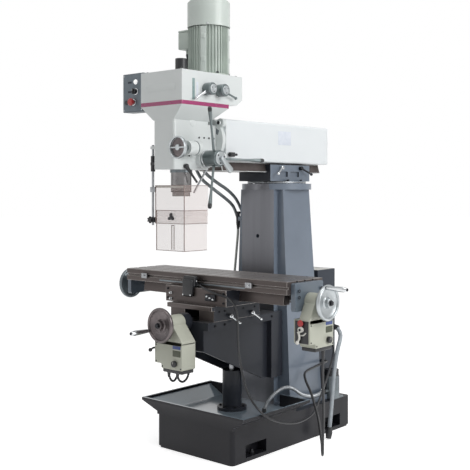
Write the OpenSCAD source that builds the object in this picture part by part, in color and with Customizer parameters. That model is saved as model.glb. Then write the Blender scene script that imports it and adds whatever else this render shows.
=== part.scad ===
// Knee type milling and drilling machine. Millimetres, +Z up, operator at -Y.
// Origin: the floor, under the middle of the anchor bolts; the column's way face is the plane Y = 0.

/* [Base and tray] */
// Width of the base
base_w = 530; // [500:10:600]
// Length of the base
base_l = 1000; // [960:10:1100]
// Height of the base top behind the tray
base_h = 172; // [150:2:190]
// Wall of the base casting
base_wall = 16; // [10:1:24]
// Height of the tray rim above the floor
rim_z = 250; // [235:1:262]
// Overhang of the tray at each side
tray_side = 92; // [60:2:110]
// Overhang of the tray at the front
tray_front = 24; // [10:1:40]
// Wall of the tray
tray_wall = 12; // [8:1:16]
// Height of the tray floor above the base top
tray_floor_t = 15; // [10:1:24]
// Spacing of the anchor bolts across
anchor_x = 470; // [420:5:480]
// Spacing of the anchor bolts along
anchor_y = 648; // [560:4:700]
// Bore of the anchor holes
anchor_d = 18; // [14:1:22]

/* [Column and ram] */
// Height of the column top, where the collar starts
col_z = 1344; // [1320:2:1370]
// Width of the column at its top
col_w = 300; // [270:2:330]
// Width of the column at its foot
col_foot_w = 400; // [360:2:420]
// Width of the knee way
way_w = 228; // [200:2:250]
// How far the way stands proud of the column
way_t = 34; // [24:1:44]
// Wall of the column
col_wall = 18; // [12:1:24]
// Swivel axis behind the way face
swivel_y = 165; // [150:1:180]
// Height of the swivel collar
collar_h = 32; // [20:1:40]
// Radius of the swivel ring
ring_r = 163; // [150:1:175]
// Width of the turret block
turret_w = 224; // [210:2:236]
// Height of the turret block
turret_h = 88; // [80:1:100]
// Width of the ram
ram_w = 242; // [220:2:250]
// Height of the ram
ram_h = 213; // [190:1:220]
// Length of the ram
ram_l = 874; // [820:2:940]
// Front of the ram before the way face
ram_front = 388; // [370:1:400]
// Wall of the ram
ram_wall = 14; // [8:1:20]

/* [Knee and saddle] */
// Height of the knee ways
knee_z = 690; // [684:1:696]
// Length of the knee before the way face
knee_l = 551; // [530:1:570]
// Width of the knee's body
knee_w = 240; // [224:2:260]
// Width over the knee's ways
knee_way_w = 300; // [280:2:310]
// Height of the cross feed screw
y_screw_z = 687; // [684:1:690]
// Width of the saddle at its foot
saddle_w = 302; // [290:2:310]
// Width of the saddle under the table
saddle_top_w = 424; // [380:2:460]
// Length of the saddle's foot
saddle_l = 348; // [330:2:352]
// Diameter of the post that holds the lifting nut
post_d = 101; // [90:1:110]
// Middle of the post before the way face
post_y = 210; // [200:1:220]

/* [Table] */
// Length of the table
table_l = 1120; // [1080:10:1200]
// Width of the table
table_w = 280; // [260:2:300]
// Thickness of the table
table_t = 62; // [54:1:64]
// Height of the table top
table_z = 912; // [904:1:920]
// Middle of the table before the way face
table_y = 310; // [300:1:320]
// Width of a T slot
slot_w = 14; // [12:1:16]
// Spacing of the T slots
slot_gap = 63; // [50:1:70]
// Diameter of the feed screws
screw_d = 28; // [24:1:32]
// Diameter of the handwheels
wheel_d = 170; // [150:2:180]
// Length of the handwheel grips
grip_l = 115; // [80:1:130]
// Table travel each way
table_travel = 300; // [250:5:300]

/* [Head] */
// Spindle axis before the way face
reach = 586; // [576:1:592]
// Diameter of the quill
quill_d = 102; // [96:1:106]
// Quill travel
quill_travel = 127; // [100:1:130]
// Width of the lower head
head_w = 144; // [136:1:156]
// Height of the lower head's underside
head_z = 1441; // [1436:1:1446]
// Width of the gear housing
housing_w = 286; // [272:2:300]
// Height of the gear housing top
housing_z = 1916; // [1906:1:1930]
// Diameter of the motor
motor_d = 212; // [190:2:220]
// Motor axis behind the spindle axis
motor_off = 198; // [194:2:202]
// Bore of the spindle nose
taper_d = 32; // [24:1:40]
// Diameter of the spindle nose
nose_d = 88.9; // [80:0.1:95]
// Length of a feed handle arm
arm_l = 262; // [220:1:280]

/* [Hidden] */
$fn = 48;

// Shared clearances and small sizes
over = 1;
gap = 0.3;
run_gap = 0.05;
eps_h = 0.6;
shaft_d = 16;
screw_r = screw_d / 2;
bolt_r = 6;
bolt_head_h = 8;
ball_share = 1.3;
thin_share = 0.75;
hub_share = 0.6;

// A box between two corners
module block(low, high) { translate(low) cube(high - low); }

// A box with round upright edges
module round_block(low, high, r) {
    translate([0, 0, low[2]]) linear_extrude(high[2] - low[2]) union() {
        translate([low[0] + r, low[1]]) square([high[0] - low[0] - 2 * r, high[1] - low[1]]);
        translate([low[0], low[1] + r]) square([high[0] - low[0], high[1] - low[1] - 2 * r]);
        for (x = [low[0] + r, high[0] - r])
            for (y = [low[1] + r, high[1] - r]) translate([x, y]) circle(r);
    }
}

// Cylinders along the three axes, from one end to the other
module x_rod(r, x0, x1, y, z) { translate([x0, y, z]) rotate([0, 90, 0]) cylinder(r = r, h = x1 - x0); }
module y_rod(r, y0, y1, x, z) { translate([x, y1, z]) rotate([90, 0, 0]) cylinder(r = r, h = y1 - y0); }
module z_rod(r, z0, z1, x, y) { translate([x, y, z0]) cylinder(r = r, h = z1 - z0); }

// An outline of Y and Z values, drawn out along X, and one of X and Z values along Y
module x_prism(points, x0, x1) {
    translate([x0, 0, 0]) rotate([90, 0, 90]) linear_extrude(x1 - x0) polygon(points);
}
module y_prism(points, y0, y1) {
    translate([0, y1, 0]) rotate([90, 0, 0]) linear_extrude(y1 - y0) polygon(points);
}

// A straight sided gear blank with teeth; a tooth stands at the angle phase
tooth_m = 3;
tooth_out_share = 0.8;
tooth_in_share = 1.25;
tooth_tip_share = 0.09;
tooth_root_share = 0.26;
function tooth(i, n, phase, r) = let (
    a = phase + i * 360 / n,
    tip = r + tooth_out_share * tooth_m,
    root = r - tooth_in_share * tooth_m,
    wide = tooth_root_share * 360 / n,
    thin = tooth_tip_share * 360 / n
) [[root, a - wide], [tip, a - thin], [tip, a + thin], [root, a + wide]];
module gear(n, h, bore, phase) {
    r = n * tooth_m / 2;
    difference() {
        linear_extrude(h) polygon([for (i = [0:n - 1]) for (p = tooth(i, n, phase, r))
            [p[0] * cos(p[1]), p[0] * sin(p[1])]]);
        translate([0, 0, -over]) cylinder(r = bore, h = h + 2 * over);
    }
}

// A tube swept along points, with its first and last ring square to its ends
function unit(v) = v / norm(v);
function heading(p, i) = unit(p[min(i + 1, len(p) - 1)] - p[max(i - 1, 0)]);
function side_of(t) = unit(cross(t, abs(t[2]) > 0.9 ? [1, 0, 0] : [0, 0, 1]));
function carried(p, i) = i == 0 ? side_of(heading(p, 0))
    : let (last = carried(p, i - 1), t = heading(p, i)) unit(last - (last * t) * t);
module tube(p, d, sides) {
    n = len(p);
    rings = [for (i = [0:n - 1]) let (t = heading(p, i), a = carried(p, i), b = cross(t, a))
        for (k = [0:sides - 1]) p[i] + d / 2 * (cos(k * 360 / sides) * a + sin(k * 360 / sides) * b)];
    walls = [for (i = [0:n - 2]) for (k = [0:sides - 1]) let (k2 = (k + 1) % sides)
        [i * sides + k, i * sides + k2, (i + 1) * sides + k2, (i + 1) * sides + k]];
    ends = [[for (k = [sides - 1:-1:0]) k], [for (k = [0:sides - 1]) (n - 1) * sides + k]];
    polyhedron(rings, concat([for (w = walls) [w[0], w[3], w[2], w[1]]],
        [for (e = ends) [for (k = [len(e) - 1:-1:0]) e[k]]]));
}
// Points on a smooth curve through chosen points, steps to a span; both end spans stay straight
function curve(p, steps) = concat([p[0]], [for (i = [1:len(p) - 3]) for (s = [0:steps - 1])
    let (u = s / steps, a = p[i - 1], b = p[i], c = p[i + 1], d = p[i + 2])
    (2 * b + (c - a) * u + (2 * a - 5 * b + 4 * c - d) * u * u
        + (3 * b - a - 3 * c + d) * u * u * u) / 2], [p[len(p) - 2], p[len(p) - 1]]);

// Base casting
plinth_h = 10;
plinth_in = 6;
base_r = 22;
pocket_l = 160;
pocket_d = 60;
pocket_top = 86;
foot_t = 22;
tray_back = 2;
tray_lip = 14;
knee_clear = 12;
base_x = base_w / 2;
base_y = base_l / 2;
tray_floor_z = base_h + tray_floor_t;
tray_x = base_x + tray_side;
tray_y0 = -base_y - tray_front;
tank_z = tray_floor_z - base_wall;
screw_hole_room = 10;
screw_hole_r = screw_r + screw_hole_room;
drain_x = 150;
drain_y = -430;
drain_r = 30;
slab_t = 0.5;
pocket_x = base_x - pocket_d;
module base_outside() {
    round_block([plinth_in - base_x, plinth_in - base_y, 0],
        [base_x - plinth_in, base_y - plinth_in, plinth_h], base_r);
    round_block([-base_x, -base_y, plinth_h], [base_x, base_y, base_h], base_r);
    block([-base_x, -base_y, base_h], [base_x, tray_back, tray_floor_z]);
    hull() {
        block([-base_x, -base_y, tray_floor_z - slab_t], [base_x, tray_back, tray_floor_z]);
        block([-tray_x, tray_y0, rim_z - tray_lip], [tray_x, tray_back, rim_z]);
    }
}
// The four feet stay solid round their pockets
module anchor_feet() {
    for (sx = [-1, 1])
        for (sy = [-1, 1]) translate([sx * base_x, sy * anchor_y / 2, 0])
            translate([-pocket_d - base_wall, -pocket_l / 2 - base_wall, 0])
                cube([2 * (pocket_d + base_wall), pocket_l + 2 * base_wall, pocket_top + base_wall]);
}
module base_casting() color("#3c3f47") {
    tray_body();
    z_rod(hose_boss_r, tray_floor_z, hose_boss_z, tray_hose_path[0][0], tray_hose_path[0][1]);
}
module tray_body() difference() {
    base_outside();
    difference() {
        union() {
            block([base_wall - base_x, base_wall - base_y, -over], [base_x - base_wall, -base_wall, tank_z]);
            block([base_wall - base_x, base_wall, -over],
                [base_x - base_wall, base_y - base_wall, base_h - base_wall]);
        }
        anchor_feet();
    }
    hull() {
        block([tray_wall - base_x, tray_wall - base_y, tray_floor_z],
            [base_x - tray_wall, tray_back - tray_wall, tray_floor_z + slab_t]);
        block([tray_wall - tray_x, tray_y0 + tray_wall, rim_z - tray_lip],
            [tray_x - tray_wall, tray_back - tray_wall, rim_z + over]);
    }
    for (sx = [-1, 1])
        for (sy = [-1, 1]) {
            translate([sx * base_x, sy * anchor_y / 2, foot_t]) translate([-pocket_d, -pocket_l / 2, 0])
                cube([2 * pocket_d, pocket_l, pocket_top - foot_t]);
            z_rod(anchor_d / 2, -over, foot_t + over, sx * anchor_x / 2, sy * anchor_y / 2);
        }
    // opening in the tray's rear wall for the way and the lowered knee
    block([-knee_way_w / 2 - knee_clear, -tray_wall - over, tray_floor_z],
        [knee_way_w / 2 + knee_clear, tray_back + over, rim_z + over]);
    z_rod(screw_hole_r, tank_z - over, tray_floor_z + over, 0, -post_y);
    z_rod(drain_r, tank_z - over, tray_floor_z + over, drain_x, drain_y);
}

// Column casting
foot_z = base_h;
col_foot_h = 26;
col_foot_y0 = 6;
col_foot_y1 = 339;
col_foot_side = 22;
col_top_back = 267;
col_foot_back = 320;
collar_edge = 31;
collar_r = ring_r + collar_edge;
way_hole_r = 11;
way_hole_z = 1090;
conduit_boss_t = 4;
conduit_boss_h = 30;
function col_back(z) = col_foot_back + (col_top_back - col_foot_back) * (z - foot_z) / (col_z - foot_z);
module column_shell(in, z0, z1) hull() {
    block([in - col_foot_w / 2, way_t + in, z0], [col_foot_w / 2 - in, col_foot_back - in, z0 + slab_t]);
    block([in - col_w / 2, way_t + in, z1 - slab_t], [col_w / 2 - in, col_top_back - in, z1]);
}
module column_casting() color("#4a4e59") difference() {
    union() {
        column_shell(0, foot_z, col_z);
        block([-way_w / 2, 0, tray_floor_z], [way_w / 2, way_t + col_wall, col_z]);
        block([-col_foot_w / 2 - col_foot_side, col_foot_y0, foot_z],
            [col_foot_w / 2 + col_foot_side, col_foot_y1, foot_z + col_foot_h]);
        z_rod(collar_r, col_z - eps_h, col_z + collar_h, 0, swivel_y);
        x_rod(tap_r * tap_boss_share, tap_x + tap_r, -way_w / 2, tap_y, tap_z);
        for (p = conduit_paths) {
            e = p[len(p) - 1];
            z_rod(conduit_d / 2 + conduit_boss_t, e[2] - conduit_boss_h, e[2], e[0], e[1]);
            block([e[0], e[1] - conduit_d / 2, e[2] - conduit_boss_h], [-way_w / 2, e[1] + conduit_d / 2, e[2]]);
        }
    }
    block([-col_foot_w, -over, foot_z - over], [col_foot_w, tray_back, tray_floor_z]);
    column_shell(col_wall, foot_z - over, col_z - col_wall);
    z_rod(pivot_r + run_gap, col_z - col_wall - over, col_z + collar_h + over, 0, swivel_y);
    y_rod(way_hole_r, -over, way_t, 0, way_hole_z);
}

// Post with the lifting nut on top of it
post_top = 380;
post_wall = 14;
post_flange_r = 78;
post_flange_h = 16;
nut_h = 60;
nut_flange_h = 14;
nut_r = post_d / 2 - post_wall - gap;
module elevating_post() color("#474b55") {
    difference() {
        union() {
            z_rod(post_d / 2, tray_floor_z, post_top, 0, -post_y);
            z_rod(post_flange_r, tray_floor_z, tray_floor_z + post_flange_h, 0, -post_y);
        }
        z_rod(post_d / 2 - post_wall, tray_floor_z - over, post_top + over, 0, -post_y);
    }
    difference() {
        union() {
            z_rod(nut_r, post_top - nut_h + nut_flange_h, post_top + over, 0, -post_y);
            z_rod(post_d / 2, post_top, post_top + nut_flange_h, 0, -post_y);
        }
        z_rod(screw_r + run_gap, post_top - nut_h, post_top + nut_h, 0, -post_y);
    }
}

// Coolant pump behind the column, its pipe along the column and the tap at its end
pump_x = 218;
pump_y = 390;
pump_r = 44;
pump_h = 158;
pump_flange = 50;
pump_flange_h = 10;
pump_cap_h = 34;
pump_neck_r = 40;
pump_port_r = 9;
pump_port_l = 34;
pump_port_z = 190;
pump_side_l = 28;
pump_side_z = 216;
tap_x = -182;
tap_y = 44;
tap_z = 1180;
tap_r = 11;
tap_h = 56;
tap_boss_share = 1.3;
tap_stem_share = 0.8;
pump_fins = 18;
tap_knob_r = 15;
tap_knob_h = 12;
module coolant_pump() color("#33363d") {
    translate([pump_x, pump_y, base_h]) {
        translate([-pump_flange, -pump_flange, 0])
            cube([2 * pump_flange - tap_r / 2, 2 * pump_flange, pump_flange_h]);
        difference() {
            cylinder(r = pump_r, h = pump_h - pump_cap_h);
            for (i = [1:pump_fins]) rotate(i * 360 / pump_fins)
                translate([pump_r - tap_r / 3, -tap_r / 8, pump_cap_h + pump_flange_h])
                    cube([tap_r, tap_r / 4, pump_h - 2 * pump_cap_h - 2 * pump_flange_h]);
        }
        translate([0, 0, pump_h - pump_cap_h]) cylinder(r = pump_neck_r, h = pump_cap_h);
    }
    x_rod(pump_port_r, pump_x - pump_r - pump_port_l, pump_x - pump_r / 2, pump_y, pump_port_z);
    y_rod(pump_port_r, pump_y - pump_r - pump_side_l, pump_y - pump_r / 2, pump_x, pump_side_z);
    // tap on the column, with its knob
    z_rod(tap_r, tap_z - tap_h / 2, tap_z + tap_h / 2, tap_x, tap_y);
    x_rod(tap_r * tap_stem_share, tap_x, tap_x + tap_r, tap_y, tap_z);
    z_rod(tap_knob_r, tap_z + tap_h / 2, tap_z + tap_h / 2 + tap_knob_h, tap_x, tap_y);
}

// Cabinet for the electrical gear, hung on the column's back
cab_x = 171;
cab_y0 = 322;
cab_y1 = 486;
cab_z0 = 215;
cab_z1 = 890;
cab_t = 3;
cab_door_t = 18;
cab_rail_h = 30;
cab_rail_in = 50;
relay_plate_t = 4;
relay_y = 350;
relay_shares = [[-0.585, 0.41], [-0.058, 0.35], [0.41, 0.29]];
relay_rows = 3;
relay_depth = 70;
relay_h = 110;
hinge_pin_r = 5;
hinge_x = -cab_x - hinge_pin_r;
hinge_h = 50;
module hinge_part(z, h) {
    y0 = cab_y1 - cab_door_t - hinge_pin_r;
    difference() {
        z_rod(hinge_pin_r * 2, z, z + h, hinge_x - hinge_pin_r, y0);
        z_rod(hinge_pin_r + run_gap, z - over, z + h + over, hinge_x - hinge_pin_r, y0);
    }
}
module electrical_cabinet() color("#6f7a86") {
    back = cab_y1 - cab_door_t - gap;
    difference() {
        block([-cab_x, cab_y0, cab_z0], [cab_x, back, cab_z1]);
        block([cab_t - cab_x, cab_y0 + cab_t, cab_z0 + cab_t], [cab_x - cab_t, back + over, cab_z1 - cab_t]);
    }
    for (z = [cab_z0 + cab_rail_h, cab_z1 - 2 * cab_rail_h])
        block([cab_rail_in - cab_x, col_back(z) + gap, z], [cab_x - cab_rail_in, cab_y0, z + cab_rail_h]);
    for (z = [cab_z0 + hinge_h, cab_z1 - 3 * hinge_h]) {
        y0 = back - 2 * hinge_pin_r;
        z_rod(hinge_pin_r, z, z + 2 * hinge_h, hinge_x - hinge_pin_r, cab_y1 - cab_door_t - hinge_pin_r);
        z_rod(hinge_pin_r * 2, z, z + hinge_h, hinge_x - hinge_pin_r, cab_y1 - cab_door_t - hinge_pin_r);
        block([hinge_x - hinge_pin_r, y0, z], [-cab_x + eps_h, back - hinge_pin_r / 2, z + hinge_h]);
    }
    // mounting plate with transformer, contactors and terminals
    block([cab_rail_in / 2 - cab_x, relay_y - relay_plate_t, cab_z0 + hinge_h],
        [cab_x - cab_rail_in / 2, relay_y, cab_z1 - hinge_h]);
    for (c = [-1, 1])
        block([c * cab_rail_in - relay_plate_t, cab_y0 + cab_t, cab_z0 + 2 * hinge_h],
            [c * cab_rail_in + relay_plate_t, relay_y - relay_plate_t, cab_z1 - 2 * hinge_h]);
    for (row = [0:relay_rows - 1])
        for (g = relay_shares) translate([g[0] * cab_x, relay_y, cab_z0 + 2 * hinge_h + row * (relay_h + hinge_h)])
            cube([g[1] * cab_x, relay_depth, relay_h]);
    for (g = base_glands) x_rod(g[2], cab_x, cab_x + g[3], g[0], g[1]);
}
module cabinet_door() color("#7c8894") {
    difference() {
        block([-cab_x, cab_y1 - cab_door_t, cab_z0], [cab_x, cab_y1, cab_z1]);
        block([cab_t - cab_x, cab_y1 - cab_door_t - over, cab_z0 + cab_t],
            [cab_x - cab_t, cab_y1 - cab_t, cab_z1 - cab_t]);
    }
    for (z = [cab_z0 + 2 * hinge_h + gap, cab_z1 - 2 * hinge_h + gap]) {
        hinge_part(z, hinge_h - 2 * gap);
        block([hinge_x - hinge_pin_r / 2, cab_y1 - cab_door_t + hinge_pin_r / 2, z],
            [-cab_x + eps_h, cab_y1 - cab_door_t + hinge_pin_r, z + hinge_h - 2 * gap]);
    }
    z_mid = (cab_z0 + cab_z1) / 2;
    y_rod(hinge_pin_r * 3, cab_y1, cab_y1 + hinge_pin_r, cab_x - cab_rail_in, z_mid);
}

// Knee casting
knee_front = -knee_l;
knee_x = knee_w / 2;
knee_way_x = knee_way_w / 2;
knee_way_t = 38;
knee_body_z = knee_z - knee_way_t;
knee_front_z = 548;
knee_low_z = 345;
knee_slope_y = -100;
knee_wall = 16;
knee_back = -gap;
knee_flange_l = 64;
cheek_l = 26;
channel_x = 47;
channel_z = 660;
boss_r = 44;
boss_l = 44;
knee_gland_r = 8;
crank_z = 612;
crank_boss_r = 30;
crank_boss_x = 134;
lift_gear_z = 572;
lift_gear_r = 50;
lift_gear_h = 16;
knee_low_y = -knee_flange_l;
module knee_casting() color("#3f434c") difference() {
    union() {
        x_prism([[knee_front, knee_body_z], [knee_front, knee_front_z], [knee_slope_y, knee_low_z],
            [knee_back, knee_low_z], [knee_back, knee_body_z]], -knee_x, knee_x);
        block([-knee_way_x, knee_front, knee_body_z - eps_h], [knee_way_x, knee_back, knee_z]);
        block([-knee_way_x, knee_low_y, knee_low_z], [knee_way_x, knee_back, knee_body_z]);
        for (s = [-1, 1]) translate([s * (knee_way_x + way_w / 2 + gap) / 2, 0, 0]) {
            half = (knee_way_x - way_w / 2 - gap) / 2;
            block([-half, knee_back - over, knee_low_z], [half, cheek_l, knee_z]);
        }
        y_rod(boss_r, knee_front - boss_l, knee_front + over, 0, y_screw_z);
        x_rod(crank_boss_r, -crank_boss_x, -knee_x + over, -post_y, crank_z);
        for (p = y_lead_paths) {
            e = p[len(p) - 1];
            z_rod(knee_gland_r, e[2], knee_front_z + knee_gland_r, e[0], e[1]);
        }
    }
    // hollow body, open underneath
    x_prism([[knee_front + knee_wall, knee_body_z - knee_wall], [knee_front + knee_wall, knee_low_z - over],
        [knee_back - knee_wall, knee_low_z - over], [knee_back - knee_wall, knee_body_z - knee_wall]],
        knee_wall - knee_x, knee_x - knee_wall);
    block([-channel_x, knee_front + knee_wall, channel_z], [channel_x, knee_back - knee_wall, knee_z + over]);
    y_rod(screw_r + run_gap, knee_front - boss_l - over, knee_front + knee_wall + over, 0, y_screw_z);
    y_rod(screw_r + run_gap, knee_back - knee_wall - over, over, 0, y_screw_z);
    x_rod(shaft_d / 2 + run_gap, -crank_boss_x - over, knee_wall * 2 - knee_x, -post_y, crank_z);
    z_rod(shaft_d / 2 + run_gap, knee_body_z - knee_wall - over, channel_z + over, 0, -post_y);
}

// Lifting screw with its bevel gear, and the crank that turns it
lift_screw_z0 = 160;
lift_screw_z1 = 658;
pinion_r = 20;
pinion_h = 20;
pinion_x0 = -50;
crank_wheel_x = -186;
crank_hub = 34;
cone_share = 0.8;
cone_cut_share = 0.78;
cone_foot_share = 0.6;
cone_teeth = 18;
module cone_gear(r0, r1, h, bore) difference() {
    cylinder(r1 = r0, r2 = r1, h = h);
    translate([0, 0, -over]) cylinder(r = bore, h = h + 2 * over);
    for (i = [1:cone_teeth]) rotate(i * 360 / cone_teeth)
        translate([r0 * cone_cut_share, -h / 10, h * cone_foot_share]) cube([r0, h / 5, h]);
}
module elevating_screw() color("#8b8d90") {
    z_rod(screw_r, lift_screw_z0, lift_gear_z, 0, -post_y);
    translate([0, -post_y, lift_gear_z])
        cone_gear(lift_gear_r, lift_gear_r * cone_share, lift_gear_h, shaft_d / 2);
    z_rod(shaft_d / 2, lift_gear_z, lift_screw_z1, 0, -post_y);
}

// Dished handwheel about Z, operator's side up; r is its radius
rim_r = 8;
hub_r = 22;
web_t = 6;
dish = 14;
module handwheel(r, hub_l, bore) rotate_extrude() polygon([
    [bore, 0], [hub_r, 0], [hub_r + web_t, dish / 2], [r - 3 * rim_r, dish / 2 + web_t / 2],
    [r - 2 * rim_r, dish], [r - rim_r * 1.5, dish / 2], [r - rim_r / 2, dish / 2],
    [r, dish], [r, dish + rim_r], [r - rim_r / 2, dish + 2 * rim_r], [r - rim_r * 1.5, dish + 2 * rim_r],
    [r - 2 * rim_r, dish + rim_r], [r - 3 * rim_r, dish + web_t], [hub_r + web_t, dish + web_t / 2],
    [hub_r, hub_l], [bore, hub_l]]);
grip_pin_r = 5;
grip_r = 13;
pin_head_share = 1.6;
grip_shares = [[0.62, 0], [0.7, 0.1], [1, 0.55], [1, 0.8]];
grip_at = wheel_d / 2 - rim_r;
module grip_pin() {
    translate([grip_at, 0, dish]) cylinder(r = grip_pin_r, h = grip_l + rim_r * 2);
    translate([grip_at, 0, dish + grip_l + rim_r * 2 + gap]) cylinder(r = grip_pin_r * pin_head_share, h = web_t / 2);
}
module grip() translate([grip_at, 0, dish + 2 * rim_r + gap]) rotate_extrude()
    polygon(concat([[grip_pin_r + gap / 2, 0]], [for (s = grip_shares) [grip_r * s[0], grip_l * s[1]]],
        [[grip_r * thin_share, grip_l - gap], [grip_pin_r + gap / 2, grip_l - gap]]));

// Places of the wheels: a turn about the screw, and where the wheel's back sits
table_x = table_l / 2;
bracket_t = 26;
bracket_boss_l = 70;
x_unit_drum = 64;
y_unit_drum = 92;
x_unit_x = table_x + bracket_t;
y_unit_y = -knee_l - boss_l - gap;
x_dial_room = 24;
y_dial_room = 20.7;
left_wheel_room = 8;
right_wheel_x = x_unit_x + x_unit_drum + x_dial_room;
left_wheel_x = table_x + bracket_t + bracket_boss_l + left_wheel_room;
x_screw_z = 813;
y_wheel_y = y_unit_y - y_unit_drum - y_dial_room;
wheel_hub = 36;
x_grip_turn = 20;
y_grip_turn = 205;
crank_turn = 120;
module at_right_wheel() translate([right_wheel_x, -table_y, x_screw_z]) rotate([0, 90, 0]) rotate(x_grip_turn + 180)
    children();
module at_left_wheel() translate([-left_wheel_x, -table_y, x_screw_z]) rotate([0, -90, 0]) children();
module at_y_wheel() translate([0, y_wheel_y, y_screw_z]) rotate([90, 0, 0]) rotate(y_grip_turn) children();
module at_crank() translate([crank_wheel_x, -post_y, crank_z]) rotate([0, -90, 0]) rotate(crank_turn) children();

module knee_crank() color("#9a9ca0") {
    x_rod(shaft_d / 2, crank_wheel_x - crank_hub, pinion_x0, -post_y, crank_z);
    translate([pinion_x0, -post_y, crank_z]) rotate([0, 90, 0])
        cone_gear(pinion_r, pinion_r * cone_share, pinion_h, shaft_d / 2 - over);
    x_rod(hub_r, crank_wheel_x + gap, -crank_boss_x - gap, -post_y, crank_z);
    at_crank() handwheel(wheel_d / 2, crank_hub, shaft_d / 2 + gap / 2);
    at_crank() grip_pin();
}
module crank_grip() color("#26272b") at_crank() grip();

// Feed unit: a drum round the screw, sloping shoulders and a box with a cap below.
// Local: screw along Z, operator's side up, the box hangs towards -Y
unit_w = 190;
unit_d = 94;
unit_top = 78;
unit_h = 138;
unit_cap_h = 18;
unit_off = 12;
unit_r = 42;
unit_chin = 22;
unit_step = 46;
unit_bore_room = 4;
unit_bore_r = screw_r + unit_bore_room;
unit_cap_in = 6;
module feed_unit(drum_l) {
    low = -unit_top - unit_h;
    x0 = unit_off - unit_w / 2;
    x1 = unit_off + unit_w / 2;
    difference() {
        union() {
            cylinder(r = unit_r, h = drum_l);
            linear_extrude(drum_l - eps_h) polygon([[-unit_r, -eps_h], [unit_r, -eps_h], [x1, -unit_top],
                [x1, -unit_top - unit_chin], [x0, -unit_top - unit_chin], [x0, -unit_top]]);
            translate([0, 0, drum_l - unit_d]) linear_extrude(unit_d - eps_h) polygon([[x1, -unit_top],
                [x1, low], [x0 + unit_step, low], [x0 + unit_step, low + unit_chin], [x0, low + unit_chin],
                [x0, -unit_top]]);
        }
        translate([0, 0, -2 * unit_d]) cylinder(r = unit_bore_r, h = 4 * unit_d);
    }
    translate([x0 + unit_step + unit_cap_in, low - unit_cap_h, drum_l - unit_d + unit_cap_in])
        cube([unit_w - unit_step - 2 * unit_cap_in, unit_cap_h, unit_d - 2 * unit_cap_in]);
}
lever_pin_r = 6;
lever_boss_r = 13;
lever_boss_l = 16;
unit_lever_l = 64;
unit_lever_r = 5;
unit_ball_share = 1.5;
unit_side = unit_off - unit_w / 2;
unit_lever_y = -124;
unit_button_y = -94;
unit_button_r = 9;
unit_button_l = 8;
unit_button_head_r = 16;
unit_knob_r = 15;
unit_knob_l = 18;
unit_knob_share = 0.8;
unit_knob_x = 62;
unit_knob_y = -184;
unit_boss_l = 3;
// A ring on the side stud, with an arm that stands at an angle from straight up
module unit_lever(drum_l, angle) translate([unit_side, unit_lever_y, drum_l - unit_d / 2]) rotate([angle, 0, 0]) {
    difference() {
        union() {
            x_rod(lever_boss_r, -lever_boss_l - gap, -gap, 0, 0);
            translate([-lever_boss_l / 2, 0, 0]) rotate([-90, 0, 0])
                cylinder(r1 = unit_lever_r * ball_share, r2 = unit_lever_r, h = unit_lever_l);
            translate([-lever_boss_l / 2, unit_lever_l, 0]) sphere(unit_lever_r * unit_ball_share);
        }
        x_rod(lever_pin_r + run_gap, -2 * lever_boss_l, over, 0, 0);
    }
}
module unit_stud(drum_l) x_rod(lever_pin_r, unit_side - lever_boss_l - unit_boss_l, unit_side + over, unit_lever_y,
    drum_l - unit_d / 2);
module unit_knob(drum_l) translate([unit_knob_x, unit_knob_y, drum_l + gap]) {
    cylinder(r = unit_knob_r, h = unit_knob_l);
    translate([-unit_knob_r / 8, -unit_knob_r * unit_knob_share, unit_knob_l - eps_h])
        cube([unit_knob_r / 4, 2 * unit_knob_r * unit_knob_share, unit_knob_r / 4]);
}
x_lever_angle = 195;
y_lever_angle = 98;
module at_x_unit() translate([x_unit_x, -table_y, x_screw_z]) rotate([90, 0, 90]) children();
module at_y_unit() translate([0, y_unit_y, y_screw_z]) rotate([90, 0, 0]) children();
module y_feed_unit() color("#c9cbb8") at_y_unit() { feed_unit(y_unit_drum); unit_stud(y_unit_drum); }
module y_feed_lever() color("#202124") at_y_unit() unit_lever(y_unit_drum, y_lever_angle);
module y_speed_knob() color("#202124") at_y_unit() unit_knob(y_unit_drum);
module x_feed_unit() color("#c9cbb8") at_x_unit() difference() {
    union() {
        feed_unit(x_unit_drum);
        unit_stud(x_unit_drum);
    }
    x_rod(unit_button_r + run_gap, unit_side - over, unit_side + 2 * unit_button_l, unit_button_y,
        x_unit_drum - unit_d / 2);
}
module x_feed_lever() color("#e2e0d8") at_x_unit() unit_lever(x_unit_drum, x_lever_angle);
module x_speed_knob() color("#202124") at_x_unit() unit_knob(x_unit_drum);
module x_rapid_button() color("#b8322c") at_x_unit() {
    x_rod(unit_button_r, unit_side - unit_button_l, unit_side + unit_button_l, unit_button_y,
        x_unit_drum - unit_d / 2);
    x_rod(unit_button_head_r, unit_side - 2 * unit_button_l, unit_side - unit_button_l + over, unit_button_y,
        x_unit_drum - unit_d / 2);
}

// Cross feed screw, its dial, handwheel and grip
dial_r = 34;
y_screw_back = -20;
y_nut_y = -350;
y_screw_front = y_wheel_y - wheel_hub;
module y_screw() color("#8f9194") {
    y_rod(screw_r, y_screw_front, y_screw_back, 0, y_screw_z);
    difference() {
        y_rod(dial_r, y_wheel_y + gap, y_unit_y - y_unit_drum - 2 * gap, 0, y_screw_z);
        y_rod(screw_r + gap / 2, y_wheel_y - over, y_unit_y, 0, y_screw_z);
    }
}
module y_handwheel() color("#5a5c61") at_y_wheel() {
    handwheel(wheel_d / 2, wheel_hub, screw_r + gap / 2);
    grip_pin();
}
module y_grip() color("#26272b") at_y_wheel() grip();

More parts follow.
